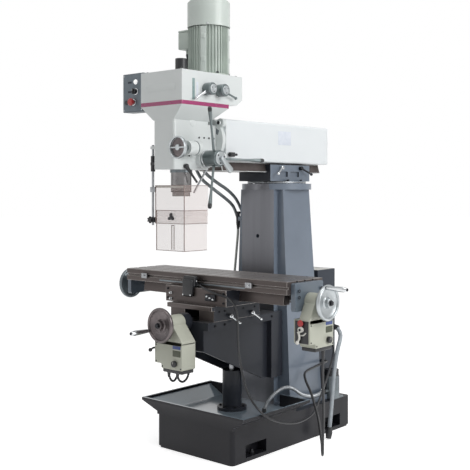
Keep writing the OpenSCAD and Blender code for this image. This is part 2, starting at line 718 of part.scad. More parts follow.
// Saddle: foot on the knee, front bar, wide top with a slot for the table
saddle_z0 = knee_z + gap;
saddle_y0 = -510;
saddle_y1 = saddle_y0 + saddle_l;
saddle_bar_z = 745;
saddle_bar_l = 22;
saddle_bar_side = 6;
saddle_mid_z = 768;
saddle_top_z = table_z - table_t - gap;
saddle_ledge = 38;
saddle_top_in = 2;
table_front_y = -table_y - table_w / 2;
saddle_top_y0 = table_front_y - saddle_ledge;
saddle_top_y1 = table_w / 2 - table_y - saddle_top_in;
tongue_w = 160;
tongue_top_w = 140;
tongue_z = 790;
slot_relief = 2;
saddle_slot_z = tongue_z - gap - slot_relief;
saddle_channel_x = 50;
saddle_channel_z = 745;
table_tongue_z = table_z - table_t;
table_channel_w = 60;
table_channel_z = 846;
nut_block = 48;
nut_len = 60;
nut_low_t = 5;
nut_top_t = 6;
// Half width of the tapered tongue at a height
function tongue_half(z) = tongue_w / 2
    - (tongue_w - tongue_top_w) / 2 * (z - tongue_z) / (table_tongue_z - tongue_z);
module tongue(side, z0, z1, x0, x1) x_prism([
    [-table_y - tongue_half(z0) - side, z0], [-table_y + tongue_half(z0) + side, z0],
    [-table_y + tongue_half(z1) + side, z1], [-table_y - tongue_half(z1) - side, z1]], x0, x1);
module saddle_casting() color("#6a6460") difference() {
    union() {
        block([-saddle_w / 2, saddle_y0, saddle_z0], [saddle_w / 2, saddle_y1, saddle_mid_z]);
        block([-saddle_w / 2 - saddle_bar_side, saddle_y0 - saddle_bar_l, saddle_bar_z],
            [saddle_w / 2 + saddle_bar_side, saddle_y0 + eps_h, saddle_mid_z]);
        block([-saddle_top_w / 2, saddle_top_y0, saddle_mid_z - eps_h],
            [saddle_top_w / 2, saddle_top_y1, saddle_top_z]);
    }
    tongue(gap, saddle_slot_z, saddle_top_z + gap, -saddle_top_w, saddle_top_w);
    block([-saddle_channel_x, saddle_y0 - over, saddle_z0 - over],
        [saddle_channel_x, saddle_y1 + over, saddle_channel_z]);
}
// The two nuts that hang from and stand on the saddle
module feed_nuts() color("#9a7b3f") {
    difference() {
        block([-nut_block / 2, y_nut_y - nut_len / 2, y_screw_z - screw_r - nut_low_t],
            [nut_block / 2, y_nut_y + nut_len / 2, saddle_channel_z]);
        y_rod(screw_r + run_gap, y_nut_y - nut_len, y_nut_y + nut_len, 0, y_screw_z);
    }
    difference() {
        block([-nut_len / 2, -table_y - nut_block / 2, saddle_slot_z],
            [nut_len / 2, -table_y + nut_block / 2, x_screw_z + screw_r + nut_top_t]);
        x_rod(screw_r + run_gap, -nut_len, nut_len, -table_y, x_screw_z);
    }
}
// Limit switch on the saddle's front ledge, with a plunger at each end
switch_x = -40;
switch_w = 80;
switch_front_l = 44;
switch_rear_l = 18;
switch_lip_l = 58;
switch_y0 = table_front_y - switch_front_l;
switch_y1 = table_front_y - switch_rear_l;
switch_z1 = 905;
switch_lip_y = table_front_y - switch_lip_l;
switch_lip_z = 800;
switch_lip_in = 6;
plunger_r = 5;
plunger_l = 8;
plunger_z = 881;
stop_clear = 2;
module limit_switch() color("#2a2b30") {
    block([switch_x - switch_w / 2, switch_y0, saddle_top_z + gap], [switch_x + switch_w / 2, switch_y1, switch_z1]);
    block([switch_x - switch_w / 2 + switch_lip_in, switch_lip_y, switch_lip_z],
        [switch_x + switch_w / 2 - switch_lip_in, saddle_top_y0 - gap, saddle_top_z + gap]);
    block([switch_x - switch_w / 2 + switch_lip_in, switch_lip_y, saddle_top_z],
        [switch_x + switch_w / 2 - switch_lip_in, switch_y0 + eps_h, switch_z1 - switch_lip_in]);
    x_rod(plunger_r, switch_x - switch_w / 2 - plunger_l, switch_x + switch_w / 2 + plunger_l,
        (switch_y0 + switch_y1) / 2, plunger_z);
}
// Lock levers on the saddle's right side
lock_boss_r = 11;
lock_boss_l = 20;
lock_z = 712;
lock_arm_l = 62;
lock_front_y = -400;
lock_rear_y = -235;
lock_turn = -130;
lock_lean = 20;
module lock_lever(y, z, x0, angle) {
    x_rod(lock_boss_r, x0 + gap, x0 + lock_boss_l, y, z);
    x_rod(bolt_r, x0 + lock_boss_l, x0 + lock_boss_l + web_t, y, z);
    translate([x0 + lock_boss_l * hub_share, y, z]) rotate([angle, 0, 0]) rotate([0, lock_lean, 0]) {
        cylinder(r1 = web_t, r2 = web_t * thin_share, h = lock_arm_l);
        translate([0, 0, lock_arm_l]) sphere(web_t * ball_share);
    }
}
module saddle_lock_front() color("#b9bbbd") lock_lever(lock_front_y, lock_z, saddle_w / 2, lock_turn);
module saddle_lock_rear() color("#b9bbbd") lock_lever(lock_rear_y, lock_z, saddle_w / 2, lock_turn);

// Table with its T slots, coolant grooves and the slot for the stops
slot_depth = 12;
slot_foot_w = 24;
slot_foot_h = 10;
table_r = 3;
groove_w = 14;
groove_h = 6;
groove_in = 12;
table_tongue_in = 70;
stop_slot_z = 881;
stop_slot_h = 10;
module t_slot(y) {
    block([-table_l, y - slot_w / 2, table_z - slot_depth], [table_l, y + slot_w / 2, table_z + over]);
    block([-table_l, y - slot_foot_w / 2, table_z - slot_depth - slot_foot_h],
        [table_l, y + slot_foot_w / 2, table_z - slot_depth + eps_h]);
}
module table_casting() color("#6b625e") difference() {
    union() {
        block([-table_x, table_front_y, table_tongue_z], [table_x, -table_y + table_w / 2, table_z]);
        tongue(0, tongue_z, table_tongue_z + eps_h, table_tongue_in - table_x, table_x - table_tongue_in);
    }
    for (i = [-1:1]) t_slot(-table_y + i * slot_gap);
    for (s = [-1, 1]) translate([0, s * (table_w / 2 - groove_in - groove_w / 2) - table_y, 0])
        block([groove_in * 2 - table_x, -groove_w / 2, table_z - groove_h],
            [table_x - groove_in * 2, groove_w / 2, table_z + over]);
    block([-table_l, table_front_y - over, stop_slot_z - stop_slot_h / 2],
        [table_l, table_front_y + stop_slot_h, stop_slot_z + stop_slot_h / 2]);
    block([table_tongue_in - table_x - over, -table_y - table_channel_w / 2, tongue_z - over],
        [table_x - table_tongue_in + over, -table_y + table_channel_w / 2, table_channel_z]);
}
// Stops that trip the limit switch, one at each end of the travel
stop_w = 40;
stop_h = 26;
stop_t = 12;
stop_at = table_travel + switch_w / 2 + plunger_l + stop_w / 2 + stop_clear;
module table_stop_dogs() color("#a9abad") for (s = [-1, 1]) {
    x = switch_x + s * stop_at;
    y0 = table_front_y - stop_t;
    block([x - stop_w / 2, y0, stop_slot_z - stop_h / 2], [x + stop_w / 2, table_front_y, stop_slot_z + stop_h / 2]);
    y_rod(stop_slot_h / 2 - gap, table_front_y - gap, table_front_y + stop_slot_h - gap, x, stop_slot_z);
    y_rod(bolt_r, y0 - bolt_head_h, y0, x, stop_slot_z);
}
// Brackets at both ends of the table, which carry the feed screw
bracket_in = 30;
bracket_y = table_w / 2 - bracket_in;
bracket_z0 = 771;
bracket_z1 = 904;
bracket_boss_r = 38;
bracket_r = 10;
bracket_bolt_r = 8;
bolt_in = 22;
bolt_y = bracket_y - bolt_in;
bolt_z = 838;
module table_end_brackets() color("#4b5562") {
    difference() {
        union() {
            for (s = [0, 1]) mirror([s, 0, 0]) translate([table_x, -table_y, bracket_z0]) rotate([90, 0, 90])
                round_block([-bracket_y, 0, 0], [bracket_y, bracket_z1 - bracket_z0, bracket_t], bracket_r);
            x_rod(bracket_boss_r, -table_x - bracket_t - bracket_boss_l, -table_x - bracket_t + over, -table_y, x_screw_z);
        }
        x_rod(screw_r + run_gap, -table_l, table_l, -table_y, x_screw_z);
    }
    for (s = [-1, 1]) for (b = [-1, 1]) for (z = [bolt_z, bolt_z + 3 * bracket_r]) {
        x = s * (table_x + bracket_t);
        x_rod(bracket_bolt_r, min(x, x + s * bolt_head_h), max(x, x + s * bolt_head_h), -table_y + b * bolt_y, z);
    }
}
// Feed screw of the table with its dials, both handwheels, and the right one's grip
module x_screw() color("#8f9194") {
    x_rod(screw_r, -left_wheel_x - wheel_hub, right_wheel_x + wheel_hub, -table_y, x_screw_z);
    difference() {
        x_rod(dial_r, x_unit_x + x_unit_drum + gap, right_wheel_x - gap, -table_y, x_screw_z);
        x_rod(screw_r + gap / 2, x_unit_x, right_wheel_x + over, -table_y, x_screw_z);
    }
}
module x_handwheels() color("#b4b6b8") {
    at_right_wheel() { handwheel(wheel_d / 2, wheel_hub, screw_r + gap / 2); grip_pin(); }
    at_left_wheel() handwheel(wheel_d / 2, wheel_hub, screw_r + gap / 2);
}
module x_grip() color("#b9b7ae") at_right_wheel() grip();

// Turret block on its swivel ring, with the slot for the ram
collar_z = col_z + collar_h;
pivot_r = 60;
pivot_l = 44;
ring_h = 14;
turret_z0 = collar_z + gap + ring_h;
turret_z1 = turret_z0 + turret_h;
turret_y0 = -26;
turret_y1 = 322;
dove_top_w = 140;
dove_low_w = 168;
dove_z0 = 1437;
ram_z0 = 1487;
turret_win_w = 74;
turret_win_h = 30;
turret_win_t = 10;
turret_win_z = 1412;
turret_win_front_y = 50;
turret_win_rear_y = 150;
turret_bolt_r = 10;
turret_bolt_in = 18;
turret_bolt_y = 58;
module dovetail(side, y0, y1, z1) {
    rise = (dove_top_w - dove_low_w) / 2 * (z1 - dove_z0) / (ram_z0 - dove_z0);
    y_prism([[-dove_low_w / 2 - side, dove_z0 - side], [dove_low_w / 2 + side, dove_z0 - side],
        [dove_low_w / 2 + rise + side, z1], [-dove_low_w / 2 - rise - side, z1]], y0, y1);
}
module turret_block() color("#3f434c") {
    difference() {
        union() {
            block([-turret_w / 2, turret_y0, turret_z0 - eps_h], [turret_w / 2, turret_y1, turret_z1]);
            z_rod(ring_r, collar_z + gap, turret_z0, 0, swivel_y);
            z_rod(pivot_r, collar_z - pivot_l, turret_z0, 0, swivel_y);
        }
        dovetail(gap, turret_y0 - over, turret_y1 + over, turret_z1 + over);
        for (y = [turret_win_front_y, turret_win_rear_y])
            block([turret_w / 2 - turret_win_t, y, turret_win_z], [turret_w, y + turret_win_w, turret_win_z + turret_win_h]);
    }
    for (x = [-1, 1]) for (y = [-1, 1])
        z_rod(turret_bolt_r, turret_z0 - eps_h, turret_z0 + bolt_head_h, x * (turret_w / 2 + turret_bolt_in),
            swivel_y + y * turret_bolt_y);
}
ram_lock_z = 1462;
ram_lock_front_y = 62;
ram_lock_rear_y = 232;
ram_lock_lean = 18;
module ram_lock(y, angle, arm) {
    x_rod(lock_boss_r, turret_w / 2 + gap, turret_w / 2 + lock_boss_l, y, ram_lock_z);
    translate([turret_w / 2 + lock_boss_l * hub_share, y, ram_lock_z])
        rotate([angle, 0, 0]) rotate([0, ram_lock_lean, 0]) {
            cylinder(r1 = web_t, r2 = web_t * thin_share, h = arm);
            translate([0, 0, arm]) sphere(web_t * ball_share);
        }
}
ram_lock_arm = 74;
ram_lock_turn = 118;
module ram_lock_front() color("#b9bbbd") ram_lock(ram_lock_front_y, ram_lock_turn, ram_lock_arm);
module ram_lock_rear() color("#2b2c30") ram_lock(ram_lock_rear_y, -ram_lock_turn, ram_lock_arm);

// Ram: a hollow box on a dovetail, with a cover at its rear
ram_y0 = -ram_front;
ram_y1 = ram_y0 + ram_l;
ram_x = ram_w / 2;
ram_z1 = ram_z0 + ram_h;
ram_r = 12;
cover_t = 12;
dove_in = 14;
tilt_z = 1593;
tilt_pin_r = 30;
tilt_pin_l = 40;
cover_screw_r = 5;
cover_in = 16;
module ram_casting() color("#e6eaeb") difference() {
    union() {
        translate([0, ram_y1 - cover_t, 0]) rotate([90, 0, 0])
            round_block([-ram_x, ram_z0, 0], [ram_x, ram_z1, ram_l - cover_t], ram_r);
        dovetail(0, ram_y0 + dove_in, ram_y1 - cover_t - dove_in, ram_z0 + eps_h);
    }
    block([ram_wall - ram_x, ram_y0 + ram_wall, ram_z0 + ram_wall],
        [ram_x - ram_wall, ram_y1 + over, ram_z1 - ram_wall]);
    y_rod(tilt_pin_r + run_gap, ram_y0 - over, ram_y0 + tilt_pin_l + over, 0, tilt_z);
}
module ram_end_cover() color("#dfe3e4") {
    translate([0, ram_y1, 0]) rotate([90, 0, 0])
        round_block([-ram_x, ram_z0, 0], [ram_x, ram_z1, cover_t], ram_r);
    for (x = [-1, 1]) for (z = [ram_z0 + cover_in, ram_z1 - cover_in])
        y_rod(cover_screw_r, ram_y1, ram_y1 + cover_screw_r, x * (ram_x - cover_in), z);
}

// Lower head casting with the quill bore, the tilt flange and its ears
head_x = head_w / 2;
head_front_l = 120;
head_rear_l = 126;
head_y0 = -reach - head_front_l;
head_y1 = -reach + head_rear_l;
head_z1 = 1681;
head_r = 14;
flange_r = 118;
flange_t = 22;
flange_y1 = ram_y0 - gap;
ear_x = 100;
ear_z = 86;
ear_r = 23;
quill_r = quill_d / 2;
quill_top_z = 1640;
bore_top_z = 1665;
seal_h = 14;
seal_t = 4;
seal_r = quill_r + seal_t;
feed_n = 20;
feed_r = feed_n * tooth_m / 2;
feed_y = -reach + quill_r - tooth_out_share * tooth_m + feed_r;
feed_z = 1495;
feed_room = 2;
feed_pocket_r = feed_r + tooth_m + feed_room;
feed_pocket_x = -24;
feed_shaft_r = 9;
worm_x = 111;
worm_z = 1544;
worm_r = 34;
worm_front_l = 74;
worm_l = 84;
worm_y0 = -reach - worm_front_l;
worm_y1 = worm_y0 + worm_l;
worm_bridge = 26;
worm_shaft_r = 7;
sleeve_hole_r = 40;
guard_rod_x = -124;
guard_rod_l = 74;
guard_rod_y = -reach - guard_rod_l;
guard_rod_r = 6;
guard_rod_z0 = 1166;
guard_rod_z1 = 1565;
guard_arm_low_z = 1464;
guard_arm_top_z = 1544;
guard_arm_h = 14;
rod_sleeve_r = 9;
rod_grip_r = 11;
rod_grip_z0 = 1433;
rod_grip_z1 = 1510;
tilt_lever_x = 40;
tilt_lever_in = 11;
tilt_lever_y = flange_y1 - flange_t - tilt_lever_in;
tilt_lever_z = 1476;
tilt_lever_r = 5;
tilt_lever_l = 188;
tilt_lever_turn = 142;
ear_nut_r = 10;
ear_nut_h = 13;
side_screw_n = 5;
side_screw_r = 4.5;
side_screw_h = 2;
side_screw_l = 52;
side_screw_y = -reach + side_screw_l;
side_screw_gap = 35;
side_screw_z = 1600;
module head_casting() color("#d9dcdc") {
    difference() {
        union() {
            round_block([-head_x, head_y0, head_z], [head_x, head_y1, head_z1], head_r);
            z_rod(seal_r, head_z - seal_h, head_z + eps_h, 0, -reach);
            block([-head_x, head_y1 - 2 * head_r, head_z + head_r * 2], [head_x, flange_y1 - flange_t + eps_h,
                head_z1 - head_r]);
            y_rod(flange_r, flange_y1 - flange_t, flange_y1, 0, tilt_z);
            for (x = [-1, 1]) for (z = [-1, 1])
                y_rod(ear_r, flange_y1 - flange_t, flange_y1, x * ear_x, tilt_z + z * ear_z);
            y_rod(tilt_pin_r, flange_y1 - over, ram_y0 + tilt_pin_l, 0, tilt_z);
            // worm housing beside the head
            y_rod(worm_r, worm_y0, worm_y1, worm_x, worm_z);
            block([head_x - head_r, worm_y0 + worm_bridge, worm_z - worm_bridge], [worm_x, worm_y1 - over,
                worm_z + worm_bridge]);
        }
        z_rod(quill_r + run_gap, head_z - seal_h - over, bore_top_z, 0, -reach);
        z_rod(sleeve_hole_r, bore_top_z - over, head_z1 + over, 0, -reach);
        x_rod(feed_pocket_r, feed_pocket_x, head_x + over, feed_y, feed_z);
        x_rod(feed_shaft_r + run_gap, feed_inner_x - over, feed_pocket_x + over, feed_y, feed_z);
        y_rod(worm_shaft_r + run_gap, worm_y0 - over, worm_y1 - worm_bridge, worm_x, worm_z);
    }
    difference() {
        x_rod(feed_flange_r, head_x, feed_flange_x, feed_y, feed_z);
        x_rod(feed_shaft_r + run_gap, head_x - over, feed_flange_x + over, feed_y, feed_z);
    }
    for (x = [-1, 1]) for (z = [-1, 1])
        y_rod(ear_nut_r, flange_y1 - flange_t - ear_nut_h, flange_y1 - flange_t + eps_h, x * ear_x,
            tilt_z + z * ear_z);
    // lever under the head
    translate([tilt_lever_x, tilt_lever_y, tilt_lever_z]) rotate([tilt_lever_turn, 0, 0])
        cylinder(r = tilt_lever_r, h = tilt_lever_l);
    // arms and rod of the guard
    for (z = [guard_arm_low_z, guard_arm_top_z])
        block([guard_rod_x - rod_sleeve_r, guard_rod_y - rod_sleeve_r, z],
            [-head_x, guard_rod_y + rod_sleeve_r, z + guard_arm_h]);
    z_rod(guard_rod_r, guard_rod_z0, rod_grip_z0, guard_rod_x, guard_rod_y);
    z_rod(rod_grip_r, rod_grip_z0, guard_arm_low_z, guard_rod_x, guard_rod_y);
    z_rod(rod_grip_r, guard_arm_low_z + guard_arm_h, rod_grip_z1, guard_rod_x, guard_rod_y);
    z_rod(guard_rod_r, rod_grip_z1, guard_arm_top_z, guard_rod_x, guard_rod_y);
    z_rod(guard_rod_r, guard_arm_top_z + guard_arm_h, guard_rod_z1, guard_rod_x, guard_rod_y);
    // side screws
    for (i = [0:side_screw_n - 1])
        x_rod(side_screw_r, head_x - eps_h, head_x + side_screw_h, side_screw_y + i * side_screw_gap, side_screw_z);
}

// Gear housing: funnel, box and rear overhang, with the gears inside
house_x = housing_w / 2;
house_front_l = 137;
house_neck_l = 6;
house_rear_l = 97;
motor_y = -reach + motor_off;
house_y0 = -reach - house_front_l;
house_y1 = motor_y - house_neck_l;
house_rear = motor_y + house_rear_l;
house_z0 = head_z1;
house_z1 = 1749;
band_h = 19;
overhang_z = house_z1 + band_h;
chamfer = 29;
chamfer_l = 42;
house_wall = 12;
motor_pilot_r = 55;
cap_r = 29;
cap_h = 75;
cap_wall = 4;
speed_z = 1832;
speed_front_l = 31;
speed_rear_l = 121;
speed_front_y = -reach + speed_front_l;
speed_rear_y = -reach + speed_rear_l;
speed_hub_r = 31;
house_gland_t = 1;
house_gland_l = 20;
house_gland_h = 8;
module housing_body(in) {
    hull() {
        block([in - head_x, head_y0 + in, house_z0], [head_x - in, head_y1 - in, house_z0 + slab_t]);
        block([in - house_x, house_y0 + in, house_z1 - slab_t], [house_x - in, house_y1 - in, house_z1]);
    }
    x_prism([[house_y0 + in, house_z1 - eps_h], [house_y1 - in, house_z1 - eps_h], [house_y1 - in, overhang_z + in],
        [house_rear - chamfer_l - in, overhang_z + in], [house_rear - in, overhang_z + chamfer + in / 2],
        [house_rear - in, housing_z - in], [house_y0 + in, housing_z - in]], in - house_x, house_x - in);
}
module gear_housing() color("#e4e9ea") {
    difference() {
        union() {
            difference() {
                housing_body(0);
                housing_body(house_wall);
            }
            z_rod(lay_boss_r, house_z0 + house_wall / 2, lay_z0 + lay_boss_h, 0, lay_y);
            z_rod(lay_boss_r, lay_z1 - lay_boss_h, housing_z - house_wall / 2, 0, lay_y);
            z_rod(sleeve_boss_r, sleeve_z1 - lay_boss_h, housing_z - house_wall / 2, 0, -reach);
        }
        z_rod(lay_r + run_gap, lay_z0 - gap, lay_z1 + gap, 0, lay_y);
        z_rod(sleeve_r + run_gap, sleeve_z1 - lay_boss_h - over, sleeve_z1 + gap, 0, -reach);
        z_rod(motor_pilot_r, housing_z - 2 * house_wall, housing_z + over, 0, motor_y);
        z_rod(sleeve_r + run_gap, house_z0 - over, house_z0 + 2 * house_wall, 0, -reach);
        z_rod(cap_r - cap_wall, sleeve_z1, housing_z + over, 0, -reach);
        for (y = [speed_front_y, speed_rear_y])
            x_rod(shaft_d / 2 + run_gap, house_x - 2 * house_wall, house_x + over, y, speed_z);
    }
    difference() {
        z_rod(cap_r, housing_z, housing_z + cap_h, 0, -reach);
        z_rod(cap_r - cap_wall, housing_z - over, housing_z + cap_h - cap_wall, 0, -reach);
    }
    for (p = conduit_paths)
        z_rod(conduit_d / 2 + house_gland_t, overhang_z - house_gland_l, overhang_z, p[0][0], p[0][1]);
    end = motor_lead_path[len(motor_lead_path) - 1];
    z_rod(motor_lead_d / 2 + house_gland_t, housing_z, housing_z + house_gland_h, end[0], end[1]);
    for (s = [-1, 1]) for (y = [house_y0 + 2 * house_wall, house_rear - 2 * house_wall])
        z_rod(bolt_r, housing_z, housing_z + bolt_r, s * (house_x - 2 * house_wall), y);
}

// Motor: finned housing with its terminal box, fan cowl, and the rotor inside
motor_r = motor_d / 2;
motor_z1 = 2183;
fin_h = 9;
motor_core_r = motor_r - fin_h;
motor_flange_h = 14;
fin_t = 3;
fin_n = 40;
cowl_z1 = 2306;
cowl_out = 3;
cowl_r = motor_r + cowl_out;
cowl_wall = 3;
cowl_rings = 3;
cowl_hole_step = 28;
cowl_hole_r = 8;
stator_r = 58;
rotor_r = 56;
rotor_z0 = 1960;
rotor_z1 = 2140;
motor_shaft_r = 14;
motor_lid_t = 10;
box_x0 = -168;
box_x1 = -84;
box_hy = 55;
box_z0 = 2070;
box_r = 10;
gland_r = 11;
gland_l = 22;
module motor_housing() color("#c4cbc0") translate([0, motor_y, 0]) {
    difference() {
        union() {
            z_rod(motor_r, housing_z, housing_z + motor_flange_h, 0, 0);
            z_rod(motor_core_r, housing_z, motor_z1, 0, 0);
            for (i = [1:fin_n]) rotate(i * 360 / fin_n)
                block([motor_core_r - over * 3, -fin_t / 2, housing_z + motor_flange_h - eps_h],
                    [motor_r, fin_t / 2, motor_z1 - motor_flange_h]);
            round_block([box_x0, -box_hy, box_z0], [box_x1, box_hy, motor_z1 - motor_flange_h - over], box_r);
        }
        z_rod(stator_r, housing_z + motor_lid_t, motor_z1 + over, 0, 0);
        z_rod(motor_shaft_r + run_gap, housing_z - over, housing_z + 2 * motor_lid_t, 0, 0);
    }
    difference() {
        z_rod(stator_r, motor_z1 - motor_lid_t, motor_z1, 0, 0);
        z_rod(motor_shaft_r + run_gap, motor_z1 - 2 * motor_lid_t, motor_z1 + over, 0, 0);
    }
    z_rod(gland_r, box_z0 - gland_l, box_z0, (box_x0 + box_x1) / 2 - gland_r, -gland_r);
}
module motor_cowl() color("#c9cfc6") translate([0, motor_y, 0]) difference() {
    union() {
        z_rod(cowl_r, motor_z1 - motor_flange_h + gap, cowl_z1 - cowl_wall * 3, 0, 0);
        z_rod(cowl_r - cowl_wall * 3, cowl_z1 - cowl_wall * 3 - over, cowl_z1, 0, 0);
    }
    z_rod(motor_r + gap / 2, motor_z1 - motor_flange_h - over, motor_z1 + gap, 0, 0);
    z_rod(cowl_r - cowl_wall * 4, motor_z1, cowl_z1 - cowl_wall, 0, 0);
    for (ring = [0:cowl_rings]) for (i = [0:max(6 * ring, 1) - 1])
        rotate(i * 360 / max(6 * ring, 1))
            z_rod(cowl_hole_r, cowl_z1 - 2 * cowl_wall, cowl_z1 + over, ring * cowl_hole_step, 0);
}
pinion_n = 22;
wheel_n = 44;
motor_gear_z = 1835;
sleeve_gear_z = 1785;
gear_h = 28;
lay_y = -reach + motor_off / 2;
fan_z = 2200;
fan_r = 92;
fan_h = 40;
fan_blades = 6;
module motor_rotor() color("#8f9296") translate([0, motor_y, 0]) {
    z_rod(motor_shaft_r, motor_gear_z, fan_z + fan_h, 0, 0);
    difference() {
        z_rod(rotor_r, rotor_z0, rotor_z1, 0, 0);
        z_rod(motor_shaft_r, rotor_z0 - over, rotor_z1 + over, 0, 0);
    }
    translate([0, 0, motor_gear_z]) gear(pinion_n, gear_h, motor_shaft_r, -90);
    difference() {
        z_rod(motor_shaft_r * 2, fan_z, fan_z + fan_h, 0, 0);
        z_rod(motor_shaft_r, fan_z - over, fan_z + fan_h + over, 0, 0);
    }
    for (i = [1:fan_blades]) rotate(i * 360 / fan_blades)
        block([2 * motor_shaft_r - over, -fin_t / 2, fan_z], [fan_r, fin_t / 2, fan_z + fan_h]);
}
lay_r = 12;
lay_z0 = 1765;
lay_z1 = 1893;
lay_boss_r = 20;
lay_boss_h = 12;
module layshaft() color("#8f9296") translate([0, lay_y, 0]) {
    z_rod(lay_r, lay_z0, lay_z1, 0, 0);
    translate([0, 0, motor_gear_z]) gear(wheel_n, gear_h, lay_r, 90 + 180 / wheel_n);
    translate([0, 0, sleeve_gear_z]) gear(pinion_n, gear_h, lay_r, -90);
}
sleeve_z0 = 1683;
sleeve_boss_r = 40;
sleeve_z1 = 1880;
sleeve_r = 30;
spindle_r = 22;
module spindle_sleeve() color("#84878b") translate([0, -reach, 0]) {
    difference() {
        z_rod(sleeve_r, sleeve_z0, sleeve_z1, 0, 0);
        z_rod(spindle_r + run_gap, sleeve_z0 - over, sleeve_z1 + over, 0, 0);
    }
    translate([0, 0, sleeve_gear_z]) gear(wheel_n, gear_h, sleeve_r, 90 + 180 / wheel_n);
}

// Quill with its rack, and the spindle inside it with the drawbar
quill_z0 = 1330;
rack_n = 17;
rack_w = 40;
rack_gap_share = 0.66;
module quill() color("#b9bbbd") difference() {
    z_rod(quill_r, quill_z0, quill_top_z, 0, -reach);
    z_rod(spindle_r + run_gap, quill_z0 - over, quill_top_z + over, 0, -reach);
    pitch = PI * tooth_m;
    back = -reach + quill_r;
    deep = (tooth_out_share + tooth_in_share) * tooth_m;
    for (i = [-1:rack_n - 2]) translate([0, 0, feed_z + i * pitch]) x_prism([
        [back + over, -pitch * rack_gap_share / 2 - over / 2], [back - deep, -pitch * rack_gap_share / 4],
        [back - deep, pitch * rack_gap_share / 4], [back + over, pitch * rack_gap_share / 2 + over / 2]],
        -rack_w / 2, rack_w / 2);
}
nose_h = 20;
spindle_top_z = 1900;
drawbar_r = 8;
drawbar_z1 = 1958;
drawbar_hex_r = 12;
drawbar_hex_h = 18;
taper_l = 90;
module spindle() color("#a7a9ab") translate([0, -reach, 0]) {
    difference() {
        union() {
            z_rod(nose_d / 2, quill_z0 - nose_h - gap, quill_z0 - gap, 0, 0);
            z_rod(spindle_r, quill_z0 - gap - eps_h, spindle_top_z, 0, 0);
        }
        z_rod(taper_d / 2, quill_z0 - nose_h - over, quill_z0 + taper_l, 0, 0);
        z_rod(drawbar_r + gap, quill_z0 + taper_l - over, spindle_top_z + over, 0, 0);
    }
    z_rod(drawbar_r, quill_z0 + taper_l, drawbar_z1 - drawbar_hex_h, 0, 0);
    translate([0, 0, drawbar_z1 - drawbar_hex_h]) cylinder(r = drawbar_hex_r, h = drawbar_hex_h, $fn = 6);
    difference() {
        z_rod(drawbar_hex_r, spindle_top_z, spindle_top_z + web_t, 0, 0);
        z_rod(drawbar_r, spindle_top_z - over, spindle_top_z + web_t + over, 0, 0);
    }
}

// Fine feed wheel with its worm shaft, and the feed handle with pinion, drum and arms
fine_r = 54;
fine_t = 20;
fine_y = head_y0 - gap - fine_t;
fine_hub_r = 17;
fine_dish = 7;
fine_bar_w = 10;
worm_end_y = worm_y1 - worm_bridge - 2 * over;
module fine_feed_wheel() color("#c6c8c9") translate([worm_x, 0, worm_z]) {
    translate([0, fine_y + fine_t, 0]) rotate([90, 0, 0]) difference() {
        cylinder(r = fine_r, h = fine_t);
        translate([0, 0, fine_dish]) cylinder(r = fine_r - fine_dish, h = fine_t);
        translate([0, 0, -over]) cylinder(r = worm_shaft_r, h = fine_t);
    }
    difference() {
        y_rod(fine_hub_r, fine_y + fine_t, worm_y0 - gap, 0, 0);
        y_rod(worm_shaft_r, fine_y, worm_y0 + over, 0, 0);
    }
    y_rod(worm_shaft_r, fine_y + fine_t - fine_dish, worm_end_y, 0, 0);
    block([-fine_r + fine_dish, fine_y + fine_dish / 2, -fine_bar_w / 2],
        [fine_r - fine_dish, fine_y + fine_t - fine_dish, fine_bar_w / 2]);
}
feed_flange_r = 49.5;
feed_flange_x = 95;
feed_drum_r = 41;
feed_drum_x = 188;
feed_disc_r = 34;
feed_disc_x = 196;
feed_inner_x = -48;
feed_gear_l = 32;
feed_arm_x = 152;
feed_arm_lean = 18;
feed_arm_r = 6.5;
feed_arm_thin = 4.8;
feed_knob_r = 10;
feed_knob_share = 0.62;
feed_root_share = 1.5;
feed_screw_share = 0.6;
feed_arm_root = feed_shaft_r * feed_root_share;
feed_arm_l = arm_l * feed_knob_share;
feed_screw_turns = [20, 140, 260];
feed_screw_r = bolt_r * feed_screw_share;
feed_screw_h = bolt_r / 3;
feed_arm_turn = [-1, 118, 242];
clutch_turn = -43;
clutch_l = 92;
clutch_r0 = 9;
clutch_r1 = 16;
clutch_t = 14;
feed_screw_at = 24;
module feed_handle() color("#9fa5a6") translate([0, feed_y, feed_z]) {
    x_rod(feed_shaft_r, feed_inner_x, feed_drum_x - over, 0, 0);
    translate([-feed_gear_l / 2, 0, 0]) rotate([0, 90, 0]) gear(feed_n, feed_gear_l, feed_shaft_r, -90);
    x_rod(feed_drum_r, feed_flange_x + gap, feed_drum_x, 0, 0);
    x_rod(feed_disc_r, feed_drum_x - over, feed_disc_x, 0, 0);
    for (a = feed_arm_turn) rotate([a - 90, 0, 0]) translate([feed_arm_x, 0, 0]) rotate([0, feed_arm_lean, 0]) {
        translate([0, 0, feed_arm_root]) cylinder(r1 = feed_arm_r, r2 = feed_arm_thin, h = feed_arm_l);
        translate([0, 0, feed_arm_root + feed_arm_l])
            cylinder(r1 = feed_arm_thin, r2 = feed_knob_r, h = arm_l - feed_arm_l);
        translate([0, 0, feed_arm_root + arm_l]) sphere(feed_knob_r);
    }
    // flat lever on the end disc
    rotate([clutch_turn, 0, 0]) translate([feed_disc_x - over, 0, 0]) rotate([0, 90, 0])
        linear_extrude(clutch_t + over)
        polygon([[clutch_r0, -clutch_r0], [clutch_r1, clutch_l], [-clutch_r1, clutch_l], [-clutch_r0, -clutch_r0]]);
    for (a = feed_screw_turns) rotate([a, 0, 0])
        x_rod(feed_screw_r, feed_disc_x - over, feed_disc_x + feed_screw_h, feed_screw_at, 0);
}

